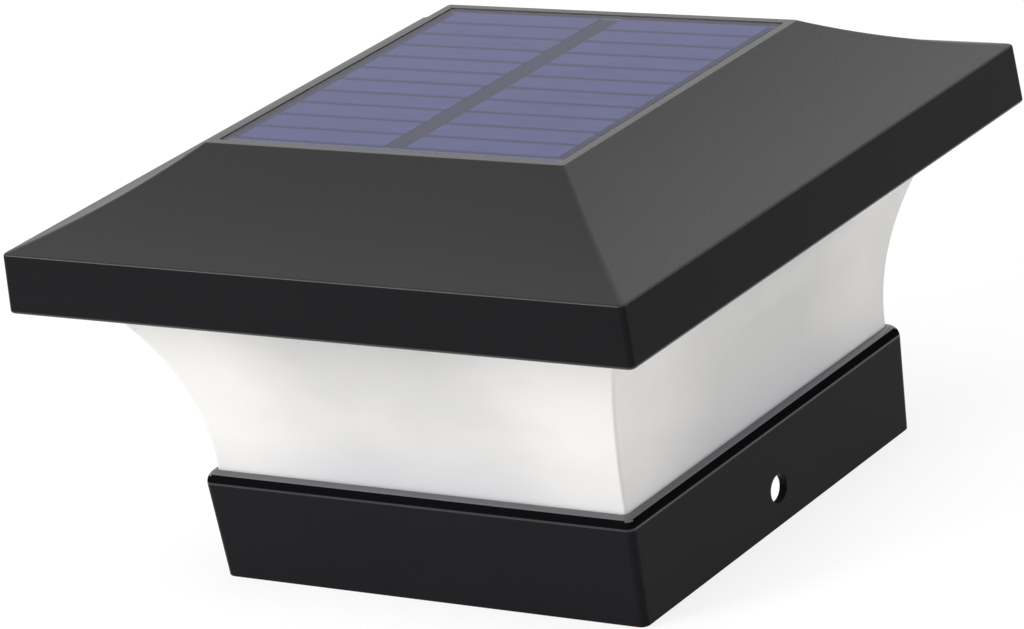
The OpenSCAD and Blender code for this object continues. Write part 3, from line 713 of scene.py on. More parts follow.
@dataclass(frozen=True)
class CellGrid:
    """Where the solar cells lie, from the frame's own cells."""

    columns: int = 2
    rows: int = 11
    column_gap: float = 5.0 * MM
    row_gap: float = 0.45 * MM

    def pitch(self) -> Pair:
        """Measures how far one cell is from the next.

        Returns:
            The distance along X and along Y.
        """
        low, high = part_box("solar_cells")
        across = (high.x - low.x + self.column_gap) / self.columns
        return across, (high.y - low.y + self.row_gap) / self.rows

    def origin(self) -> Triple:
        """The first cell's low corner, moved out by half a gap."""
        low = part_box("solar_cells")[0]
        return low.x - self.column_gap / 2, low.y - self.row_gap / 2, 0.0

    def ends(self) -> Pair:
        """Where the cells end at the front and at the rear."""
        low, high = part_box("solar_cells")
        return low.y, high.y


GRID = CellGrid()

GLOSS_BLACK = GlossPlastic("gloss_black", srgb(28, 28, 30), roughness=0.2, shine=0.04)
# Painted shade: a black without reflection for the shade and the dark reflection on the collar's
# shoulder under the roof.
PAINTED_SHADE_BLACK = GlossPlastic("painted_shade_black", srgb(16, 16, 18), roughness=0.3, shine=0.0)
# Painted highlight: a paler grey that adds to the real reflection along the collar's rim.
PAINTED_RIM_HIGHLIGHT = GlossPlastic("painted_rim_highlight", srgb(90, 90, 94), roughness=0.4, shine=0.6, relief=0.0005 * MM)
POLISHED_EDGE = GlossPlastic("polished_edge", srgb(26, 26, 28), roughness=0.25, shine=0.5)

FINISHES: dict[Slot, Finish] = {
    Slot.ROOF: MouldedPlastic(
        "satin_black",
        srgb(31, 31, 33),
        roughness=0.41,
        shine=0.25,
        grain=0.4 * MM,
        relief=0.008 * MM,
        clouding=0.05,
    ),
    # The resin's pale colour is a painted reflection.
    Slot.RESIN: ClearResin("clear_resin", srgb(149, 149, 166)),
    Slot.SILICON: SolarSilicon(
        "blue_silicon",
        srgb(75, 80, 128),
        other=srgb(86, 90, 142),
        finger=srgb(104, 108, 150),
        edge=srgb(58, 62, 104),
        pitch=GRID.pitch(),
        origin=GRID.origin(),
    ),
    Slot.DARK_BOARD: CellBoard(
        "cell_board", srgb(52, 53, 76), strip=srgb(103, 107, 129), strips=GRID.ends()
    ),
    Slot.TAPE: SoftSeal("foam_tape", srgb(226, 222, 208), roughness=0.75),
    Slot.SEALANT: SoftSeal(
        "sealant", srgb(214, 208, 190), roughness=0.5, lump=1.0 * MM, relief=0.06 * MM
    ),
    Slot.RED: SoftSeal(
        "red_insulation", srgb(168, 30, 28), roughness=0.4, lump=3 * MM, relief=0.01 * MM
    ),
    Slot.BLACK: SoftSeal(
        "black_insulation", srgb(26, 26, 28), roughness=0.4, lump=3 * MM, relief=0.01 * MM
    ),
    Slot.GASKET: SoftSeal("gasket_rubber", srgb(52, 52, 55), roughness=0.7),
    Slot.WHITE: MouldedPlastic(
        "white_plastic",
        srgb(228, 228, 222),
        roughness=0.42,
        shine=0.45,
        grain=0.5 * MM,
        relief=0.005 * MM,
        clouding=0.02,
    ),
    Slot.SCREW: PlatedMetal("zinc_screw", srgb(196, 199, 204), roughness=0.3),
    Slot.CAN: PlatedMetal(
        "nickel_can", srgb(206, 208, 210), roughness=0.22, streak=(3 * MM, 0.2 * MM, 0.2 * MM)
    ),
    Slot.SLEEVE: SoftSeal(
        "shrink_sleeve", srgb(40, 132, 76), roughness=0.25, lump=6 * MM, relief=0.02 * MM
    ),
    Slot.BRASS: PlatedMetal(
        "contact_plate", srgb(206, 186, 116), roughness=0.3, streak=(0.2 * MM, 3 * MM, 0.2 * MM)
    ),
    Slot.GREEN_BOARD: Laminate("green_laminate", srgb(34, 98, 52), track=srgb(52, 124, 70)),
    Slot.WHITE_BOARD: Laminate("white_laminate", srgb(230, 232, 226), track=srgb(221, 224, 218)),
    Slot.CHIP: MouldedPlastic(
        "chip_resin", srgb(36, 36, 38), roughness=0.55, shine=0.4, grain=0.15 * MM, relief=0.01 * MM
    ),
    Slot.COPPER: WoundWire("copper_wire", srgb(186, 110, 62)),
    Slot.FERRITE: MouldedPlastic(
        "ferrite", srgb(66, 66, 70), roughness=0.65, shine=0.4, grain=0.2 * MM, relief=0.02 * MM
    ),
    Slot.CAPACITOR: SoftSeal(
        "capacitor_sleeve", srgb(40, 58, 108), roughness=0.3, lump=4 * MM, relief=0.01 * MM
    ),
    Slot.PHOSPHOR: Phosphor("phosphor", srgb(232, 204, 72)),
    # The lens's two darker colours are painted shade, amid each side and at its foot.
    Slot.FROSTED: FrostedPlastic(
        "frosted_plastic", srgb(243, 241, 238), painted_middle_shade=srgb(219, 218, 217), foot=srgb(208, 208, 213)
    ),
    Slot.COLLAR: GlossPlastic("collar_black", srgb(29, 29, 32), roughness=0.2, shine=0.04),
}


class Finishes:
    """Makes each finish once and puts it on pieces."""

    def __init__(self) -> None:
        """Starts with no material made."""
        self.made: dict[str, bpy.types.Material] = {}

    def material(self, finish: Finish) -> bpy.types.Material:
        """Finds a finish's material, and makes it when it is first asked for.

        Args:
            finish: The finish.

        Returns:
            Its material.
        """
        if finish.name not in self.made:
            self.made[finish.name] = finish.make()
        return self.made[finish.name]

    def dress(self, piece: bpy.types.Object, slot: Slot) -> None:
        """Gives a piece the finish of a slot, in place of what it had."""
        piece.data.materials.clear()
        piece.data.materials.append(self.material(FINISHES[slot]))

    def tint(self, piece: bpy.types.Object, finish: Finish, test: Test) -> None:
        """Gives some of a piece's outer faces another finish.

        Args:
            piece: The piece.
            finish: The other finish.
            test: Takes a face's middle and normal, and says whether the face gets it.
        """
        material = self.material(finish)
        if material.name not in piece.data.materials:
            piece.data.materials.append(material)
        index = piece.data.materials.find(material.name)
        for face in piece.data.polygons:
            outward = face.normal.x * face.center.x + face.normal.y * face.center.y
            if (outward > 0 or face.normal.z > STRAIGHT_UP) and test(face.center, face.normal):
                face.material_index = index


# ---- modelling ----


def sweep(centre: Vector, start: Vector, end: Vector, steps: int) -> list[Point]:
    """Points on an arc.

    Args:
        centre: The arc's centre in the outline's plane.
        start: Its first point.
        end: Its last point.
        steps: How many straight pieces it has.

    Returns:
        The points, first and last included.
    """
    first, last = start - centre, end - centre
    turn = first.angle(last)
    points = []
    for step in range(steps + 1):
        share = step / steps
        arm = first * math.sin((1 - share) * turn) + last * math.sin(share * turn)
        points.append(tuple(centre + arm / math.sin(turn)))
    return points


def round_corners(turns: Sequence[Triple], steps: int = 4) -> list[Point]:
    """Rounds the corners of an outline.

    Args:
        turns: The outline's corners as half width, height and radius.
        steps: How many straight pieces each rounding has.

    Returns:
        The outline's points.
    """
    outline: list[Point] = []
    for index, (half, height, radius) in enumerate(turns):
        if radius == 0.0:
            outline.append((half, height))
            continue
        corner = Vector((half, height))
        back = (Vector(turns[index - 1][:2]) - corner).normalized()
        ahead = (Vector(turns[index + 1][:2]) - corner).normalized()
        half_angle = back.angle(ahead) / 2
        centre = corner + (back + ahead).normalized() * radius / math.sin(half_angle)
        reach = radius / math.tan(half_angle)
        outline += sweep(centre, corner + back * reach, corner + ahead * reach, steps)
    return outline


class Editing:
    """Edit mode on one object alone, left again at the end of the with block."""

    def __init__(self, piece: bpy.types.Object, kind: str = "FACE") -> None:
        """Keeps what to edit.

        Args:
            piece: The object to edit.
            kind: What is picked, "VERT", "EDGE" or "FACE".
        """
        self.piece = piece
        self.kind = kind

    def __enter__(self) -> "Editing":
        """Selects the piece alone and opens it with nothing picked.

        Returns:
            This object, for the with block.
        """
        pick_object(self.piece)
        bpy.ops.object.mode_set(mode="EDIT")
        bpy.ops.mesh.select_mode(type=self.kind)
        bpy.ops.mesh.select_all(action="DESELECT")
        return self

    def __exit__(self, *_: object) -> None:
        """Goes back to object mode."""
        bpy.ops.object.mode_set(mode="OBJECT")

    def pick(self, test: Test) -> None:
        """Picks the faces or edges that pass a test, and nothing else.

        Args:
            test: Takes a face's or edge's middle and its normal or direction.
        """
        bpy.ops.mesh.select_all(action="DESELECT")
        mesh = bmesh.from_edit_mesh(self.piece.data)
        if self.kind == "FACE":
            found = [face for face in mesh.faces if test(face.calc_center_median(), face.normal)]
        else:
            found = [edge for edge in mesh.edges if test(*middle_and_direction(edge))]
        for item in found:
            item.select_set(True)
        mesh.select_flush_mode()
        bmesh.update_edit_mesh(self.piece.data)

    @staticmethod
    def pick_all() -> None:
        """Picks the whole piece."""
        bpy.ops.mesh.select_all(action="SELECT")

    @staticmethod
    def round(width: float, segments: int, affect: str = "EDGES") -> None:
        """Rounds the picked edges, or the picked corners where affect is "VERTICES"."""
        bpy.ops.mesh.bevel(offset=width, segments=segments, profile=ROUND, affect=affect)

    @staticmethod
    def draw(rise: float, ratio: float) -> None:
        """Draws the picked end up by a rise, and makes it wider or narrower by a ratio."""
        bpy.ops.mesh.extrude_region_move(TRANSFORM_OT_translate={"value": (0.0, 0.0, rise)})
        bpy.ops.transform.resize(value=(ratio, ratio, 1.0), center_override=(0.0, 0.0, 0.0))


def middle_and_direction(edge: bmesh.types.BMEdge) -> tuple[Vector, Vector]:
    """An edge's middle and its unit direction."""
    first, last = (vertex.co for vertex in edge.verts)
    return (first + last) / 2, (last - first).normalized()


def pick_object(piece: bpy.types.Object) -> None:
    """Makes one object the only selected one, and the active one.

    Args:
        piece: The object.
    """
    bpy.ops.object.select_all(action="DESELECT")
    piece.select_set(True)
    bpy.context.view_layer.objects.active = piece


def added(name: str, data: bpy.types.ID) -> bpy.types.Object:
    """Adds an object to the scene.

    Args:
        name: The object's name.
        data: Its mesh, lamp or camera data.

    Returns:
        The new object.
    """
    thing = bpy.data.objects.new(name, data)
    bpy.context.scene.collection.objects.link(thing)
    return thing


def settle(piece: bpy.types.Object) -> None:
    """Puts a primitive's place, turn and scale into its mesh."""
    pick_object(piece)
    bpy.ops.object.transform_apply(location=True, rotation=True, scale=True)


def block(low: Sequence[float], high: Sequence[float]) -> bpy.types.Object:
    """A cuboid between two corners, as a start or a cutter.

    Args:
        low: Lowest corner.
        high: Highest corner.

    Returns:
        The new object.
    """
    bpy.ops.object.select_all(action="DESELECT")
    bpy.ops.mesh.primitive_cube_add(size=1.0, location=(Vector(low) + Vector(high)) / 2)
    piece = bpy.context.active_object
    piece.scale = Vector(high) - Vector(low)
    settle(piece)
    return piece


def rod(at: Point, radius: float, low: float, high: float, sides: int = 48) -> bpy.types.Object:
    """An upright round bar, as a start or a cutter.

    Args:
        at: Its place along X and Y.
        radius: Its radius.
        low: Height of its lower end.
        high: Height of its upper end.
        sides: How many sides it has.

    Returns:
        The new object.
    """
    bpy.ops.object.select_all(action="DESELECT")
    bpy.ops.mesh.primitive_cylinder_add(
        vertices=sides, radius=radius, depth=high - low, location=(*at, (low + high) / 2)
    )
    piece = bpy.context.active_object
    settle(piece)
    return piece


def combine(piece: bpy.types.Object, other: bpy.types.Object, how: str) -> None:
    """Joins a solid to a piece or cuts it out of the piece, and removes the solid.

    Args:
        piece: The piece that stays.
        other: The solid that is used up.
        how: "UNION" or "DIFFERENCE".
    """
    pick_object(piece)
    boolean = piece.modifiers.new("solid", "BOOLEAN")
    boolean.operation = how
    boolean.solver = "EXACT"
    boolean.object = other
    bpy.ops.object.modifier_apply(modifier=boolean.name)
    bpy.data.objects.remove(other)


def soften(piece: bpy.types.Object, width: float, segments: int = 2, angle: float = 35.0) -> None:
    """Rounds all sharp edges of a piece.

    Args:
        piece: The piece.
        width: Width of the rounding.
        segments: Faces across it.
        angle: Edges sharper than this many degrees are rounded.
    """
    pick_object(piece)
    bevel = piece.modifiers.new("edges", "BEVEL")
    bevel.width = width
    bevel.segments = segments
    bevel.limit_method = "ANGLE"
    bevel.angle_limit = math.radians(angle)
    bpy.ops.object.modifier_apply(modifier=bevel.name)


def smooth(piece: bpy.types.Object, angle: float = 32.0) -> None:
    """Shades a piece smoothly, with its flat faces kept flat and its sharp edges sharp.

    Args:
        piece: The piece.
        angle: Edges sharper than this many degrees stay sharp.
    """
    pick_object(piece)
    bpy.ops.object.shade_smooth_by_angle(angle=math.radians(angle))
    weighted = piece.modifiers.new("flats", "WEIGHTED_NORMAL")
    weighted.keep_sharp = True
    bpy.ops.object.modifier_apply(modifier=weighted.name)


def joined(pieces: Sequence[bpy.types.Object], name: str) -> bpy.types.Object:
    """Makes several objects one.

    Args:
        pieces: The objects.
        name: Name of the result.

    Returns:
        The one object that is left.
    """
    bpy.ops.object.select_all(action="DESELECT")
    for piece in pieces:
        piece.select_set(True)
    bpy.context.view_layer.objects.active = pieces[0]
    if len(pieces) > 1:
        bpy.ops.object.join()
    pieces[0].name = pieces[0].data.name = name
    return pieces[0]


def merged_copy(node: str, name: str) -> bpy.types.Object:
    """A copy of a construction node whose loose triangles are merged into whole faces.

    Args:
        node: The node's name.
        name: The copy's name.

    Returns:
        The copy.
    """
    same_place, same_plane = 0.002 * MM, math.radians(0.5)
    piece = added(name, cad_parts[node].data.copy())
    with Editing(piece, "VERT") as edit:
        edit.pick_all()
        bpy.ops.mesh.remove_doubles(threshold=same_place)
        bpy.ops.mesh.dissolve_limited(angle_limit=same_plane)
    return piece


class SquareForm:
    """A form with a rounded square section, drawn up from a flat sheet step by step."""

    def __init__(self, name: str, start: Point, corner: float, corner_steps: int = 6) -> None:
        """Lays the sheet.

        Args:
            name: The piece's name.
            start: Half width and height of the sheet.
            corner: Radius of the section's corners.
            corner_steps: How many straight pieces a corner has.
        """
        half, height = start
        bpy.ops.object.select_all(action="DESELECT")
        bpy.ops.mesh.primitive_plane_add(size=2 * half, location=(0.0, 0.0, height))
        self.piece = bpy.context.active_object
        self.piece.name = self.piece.data.name = name
        self.start = start
        settle(self.piece)
        with Editing(self.piece, "VERT") as edit:
            edit.pick_all()
            edit.round(corner, corner_steps, "VERTICES")

    def draw(self, outline: Iterable[Point], facing: float) -> None:
        """Draws the sheet's face along an outline, with a step at each point.

        Args:
            outline: Half width and height of each step.
            facing: 1 for the face that looks up, -1 for the one that looks down.
        """
        half, height = self.start
        with Editing(self.piece) as edit:
            edit.pick(lambda at, way: way.z * facing > UPRIGHT and abs(at.z - height) < NEAR)
            for new_half, new_height in outline:
                edit.draw(new_height - height, new_half / half)
                half, height = new_half, new_height

    def mend(self) -> None:
        """Merges doubled points of the closed form and turns all its faces outwards."""
        with Editing(self.piece) as edit:
            edit.pick_all()
            bpy.ops.mesh.remove_doubles(threshold=NEAR / 2)
            bpy.ops.mesh.normals_make_consistent(inside=False)


def corners(at: float) -> list[Point]:
    """The four places at a distance from the middle along both X and Y."""
    return [(x * at, y * at) for x in (-1, 1) for y in (-1, 1)]


# ---- sub-assemblies ----


@dataclass
class SubAssembly:
    """What all sub-assemblies share: their finishes and how a piece joins the object."""

    finishes: Finishes

    def fit(self, piece: bpy.types.Object, body: str, slot: Slot, nodes: Sequence[str]) -> None:
        """Dresses a new piece and lets it stand for construction nodes.

        Args:
            piece: The new piece.
            body: The body that it moves with.
            slot: The record's slot of its finish.
            nodes: The construction nodes that it replaces.
        """
        self.finishes.dress(piece, slot)
        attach(piece, body)
        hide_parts(*nodes)
        log.info("%s stands for %s and moves with %s", piece.name, ", ".join(nodes), body)

    def keep(self, slot: Slot, *nodes: str) -> None:
        """Keeps construction nodes as they are and gives them a finish.

        Args:
            slot: The slot of their finish.
            nodes: The nodes.
        """
        for node in nodes:
            self.finishes.dress(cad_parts[node], slot)
            log.info("%s keeps its shape, in %s", node, slot.value)

    def softened(self, node: str, name: str, width: float, slot: Slot, body: str = HOUSING) -> None:
        """Replaces a construction node by a copy with rounded edges.

        Args:
            node: The construction node.
            name: The new piece's name.
            width: Width of the rounding.
            slot: The slot of its finish.
            body: The body that it moves with.
        """
        piece = merged_copy(node, name)
        soften(piece, width)
        smooth(piece)
        self.fit(piece, body, slot, [node])

    @staticmethod
    def screw_places(node: str) -> list[Point]:
        """Where a node's four case screws stand, one near each corner."""
        return corners(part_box(node)[1].x - ScrewSet.CASE.radius)


@dataclass
class Roof(SubAssembly):
    """The moulded roof: skirt, four hollow slopes, and a flat deck around the panel's recess."""

    wall: float = 2.0 * MM
    corner: float = 1.1 * MM
    lip: float = 0.6 * MM
    edge: float = 0.6 * MM
    rim_edge: float = 0.35 * MM
    skirt_height: float = 11.8 * MM
    skirt_lean: float = 0.5 * MM
    slope_radius: float = 115.0 * MM
    slope_steps: int = 14
    deck_half: float = 40.75 * MM
    rim: float = 2.0 * MM
    slot_margin: float = 0.2 * MM
    post_radius: float = 2.8 * MM
    post_margin: float = 0.3 * MM
    pilot_radius: float = 1.3 * MM
    pilot_depth: float = 6.4 * MM
    tray_wall: float = 2.0 * MM
    skirt_facing: float = 0.3
    lip_facing: Pair = (-0.96, -0.1)

    def slope_centre(self, foot: Vector, head: Vector) -> Vector:
        """Finds the centre of the circle that a hollow slope follows, above and outside it.

        Args:
            foot: The slope's lower end.
            head: The slope's upper end.

        Returns:
            The centre.
        """
        chord = head - foot
        across = Vector((-chord.y, chord.x)).normalized()
        sag = math.sqrt(self.slope_radius**2 - chord.length_squared / 4)
        return (foot + head) / 2 - across * sag

    def build(self) -> None:
        """Models the roof and dresses it in its three finishes."""
        low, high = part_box("roof_cap")
        seal_low, seal_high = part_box("wire_seal")
        ceiling, recess_floor = seal_low.z, seal_high.z
        skirt_top = low.z + self.skirt_height
        foot = Vector((high.x - self.skirt_lean, skirt_top))
        head = Vector((self.deck_half, high.z))
        centre = self.slope_centre(foot, head)
        slope = sweep(centre, foot, head, self.slope_steps)
        recess = self.deck_half - self.rim
        start = (high.x - self.wall / 2, low.z, 0.0)
        form = SquareForm("roof_shell", start[:2], self.corner)
        outside = [(high.x, low.z, self.lip), (*foot, self.edge)]
        outside += [(*point, 0.0) for point in slope[1:-1]]
        outside += [(*head, self.rim_edge), (recess, high.z, self.rim_edge / 2)]
        outside += [(recess, recess_floor, 0.0)]
        form.draw(round_corners([start, *outside])[1:], 1)
        form.draw(self.inside(centre, low.z, high.x, ceiling), -1)
        form.mend()
        self.add_posts(form.piece, skirt_top)
        self.cut_wire_slot(form.piece, seal_low, seal_high)
        smooth(form.piece)
        self.fit(form.piece, HOUSING, Slot.ROOF, ["roof_cap"])
        self.polish(form.piece, skirt_top)

    def inside(self, centre: Vector, eaves: float, half: float, ceiling: float) -> list[Point]:
        """The outline of the inside, one wall thickness within the outside.

        Args:
            centre: Centre of the hollow slopes.
            eaves: Height of the lower edge.
            half: Half width at the lower edge.
            ceiling: Height of the flat ceiling.

        Returns:
            Half width and height of each step.
        """
        reach = self.slope_radius + self.wall
        side = half - self.wall - self.skirt_lean
        low = Vector((side, centre.y - math.sqrt(reach**2 - (centre.x - side) ** 2)))
        high = Vector((centre.x - math.sqrt(reach**2 - (centre.y - ceiling) ** 2), ceiling))
        return [(half - self.wall, eaves), *sweep(centre, low, high, self.slope_steps)]

    def add_posts(self, piece: bpy.types.Object, top: float) -> None:
        """Adds the screw posts of the diffuser and of the tray, each with its pilot hole.

        Args:
            piece: The roof.
            top: Height up to which the posts stand.
        """
        feet = {
            "flange_screws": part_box("diffuser")[1].z,
            "tray_screws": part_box("roof_gasket")[1].z + self.tray_wall,
        }
        for screws, foot in feet.items():
            for at in self.screw_places(screws):
                combine(piece, rod(at, self.post_radius, foot, top + self.post_margin), "UNION")
                pilot = rod(at, self.pilot_radius, foot - self.post_margin, foot + self.pilot_depth)
                combine(piece, pilot, "DIFFERENCE")

    def cut_wire_slot(self, piece: bpy.types.Object, low: Vector, high: Vector) -> None:
        """Opens the slot through which the panel's leads pass, where their seal is.

        Args:
            piece: The roof.
            low: The seal's lowest corner.
            high: The seal's highest corner.
        """
        margin = Vector((0.0, 0.0, self.slot_margin))
        combine(piece, block(low - margin, high + margin), "DIFFERENCE")

    def polish(self, piece: bpy.types.Object, skirt_top: float) -> None:
        """Gives the skirt the tool's gloss, and the edges and the deck's rim a polish.

        Args:
            piece: The roof.
            skirt_top: Height at which the skirt meets the slopes.
        """
        low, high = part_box("roof_cap")
        downmost, least_down = self.lip_facing
        looks = (
            (GLOSS_BLACK, lambda at, way: at.z < skirt_top and abs(way.z) < self.skirt_facing),
            (POLISHED_EDGE, lambda at, way: at.z > high.z - self.rim_edge),
            (POLISHED_EDGE, lambda at, way: at.z < low.z + self.lip and downmost < way.z < least_down),
        )
        for finish, test in looks:
            self.finishes.tint(piece, finish, test)


@dataclass
class SolarPanel(SubAssembly):
    """The panel in the deck: cells on a dark board under a slab of clear resin."""

    corner: float = 0.5 * MM
    corner_steps: int = 4
    edge: float = 0.15 * MM
    edge_steps: int = 2
    gap: float = 0.02 * MM

    def build(self) -> None:
        """Models the resin and dresses what lies under it."""
        low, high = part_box("panel_glaze")
        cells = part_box("solar_cells")[1].z + self.gap
        slab = block((low.x, low.y, cells), high)
        slab.name = slab.data.name = "resin_slab"
        with Editing(slab, "EDGE") as edit:
            edit.pick(lambda at, way: abs(way.z) > UPRIGHT)
            edit.round(self.corner, self.corner_steps)
            edit.pick(lambda at, way: abs(at.z - high.z) < self.gap and abs(way.z) < LEVEL)
            edit.round(self.edge, self.edge_steps)
        smooth(slab)
        self.fit(slab, HOUSING, Slot.RESIN, ["panel_glaze"])
        self.keep(Slot.SILICON, "solar_cells")
        self.keep(Slot.DARK_BOARD, "panel_board")
        self.keep(Slot.TAPE, "panel_tape")
        self.keep(Slot.SEALANT, "wire_seal")
        self.keep(Slot.RED, "panel_lead_red")
        self.keep(Slot.BLACK, "panel_lead_black")


@dataclass
class Diffuser(SubAssembly):
    """The frosted lens that flares from the collar up to the roof, with its flange."""

    wall: float = 2.0 * MM
    corner: float = 0.7 * MM
    foot_half: float = 47.1 * MM
    mouth_half: float = 62.1 * MM
    flange: float = 2.0 * MM
    flange_edge: float = 0.4 * MM
    flare_steps: int = 18
    post_radius: float = 2.8 * MM
    post_height: float = 9.0 * MM
    pilot_radius: float = 1.3 * MM
    pilot_floor: float = 1.0 * MM
    flange_hole_radius: float = 1.5 * MM
    cut_margin: float = 0.5 * MM

    def build(self) -> None:
        """Models the lens."""
        low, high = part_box("diffuser")
        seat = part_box("base_collar")[1].z
        under = high.z - self.flange
        rise, run = under - seat, self.mouth_half - self.foot_half
        radius = (rise**2 + run**2) / (2 * run)
        centre = Vector((self.foot_half + radius, seat))
        foot, mouth = Vector((self.foot_half, seat)), Vector((self.mouth_half, under))
        flare = sweep(centre, foot, mouth, self.flare_steps)
        reach = radius + self.wall
        lip = Vector((centre.x - math.sqrt(reach**2 - (high.z - seat) ** 2), high.z))
        inner = sweep(centre, lip, Vector((self.foot_half - self.wall, seat)), self.flare_steps)
        form = SquareForm("frosted_lens", (self.foot_half, low.z), self.corner)
        flange = [(high.x, height, self.flange_edge) for height in (under, high.z)]
        rounded = round_corners([(*flare[-1], 0.0), *flange, (*lip, 0.0)])
        outline = [*flare[:-1], *rounded, *inner[1:]]
        form.draw([*outline, (self.foot_half - self.wall, low.z)], 1)
        self.open_foot(form.piece, low.z)
        form.mend()
        self.add_fixings(form.piece, low.z, high.z)
        smooth(form.piece)
        self.fit(form.piece, HOUSING, Slot.FROSTED, ["diffuser"])

    def open_foot(self, piece: bpy.types.Object, bottom: float) -> None:
        """Takes out the two faces that close the foot, and bridges their edges to a ring.

        Args:
            piece: The lens.
            bottom: Height of the foot.
        """
        with Editing(piece) as edit:
            edit.pick(lambda at, way: abs(at.z - bottom) < NEAR and abs(way.z) > UPRIGHT)
            bpy.ops.mesh.delete(type="ONLY_FACE")
        with Editing(piece, "EDGE") as edit:
            edit.pick(lambda at, way: abs(at.z - bottom) < NEAR and abs(way.z) < LEVEL)
            bpy.ops.mesh.bridge_edge_loops()

    def add_fixings(self, piece: bpy.types.Object, bottom: float, top: float) -> None:
        """Adds the screw posts in the foot and the holes in the flange.

        Args:
            piece: The lens.
            bottom: Height of the foot.
            top: Height of the flange's upper face.
        """
        post_top = bottom + self.post_height
        for at in self.screw_places("collar_screws"):
            combine(piece, rod(at, self.post_radius, bottom, post_top), "UNION")
            below, end = bottom - self.cut_margin, post_top - self.pilot_floor
            combine(piece, rod(at, self.pilot_radius, below, end), "DIFFERENCE")
        for at in self.screw_places("flange_screws"):
            below, above = top - self.flange - self.cut_margin, top + self.cut_margin
            combine(piece, rod(at, self.flange_hole_radius, below, above), "DIFFERENCE")


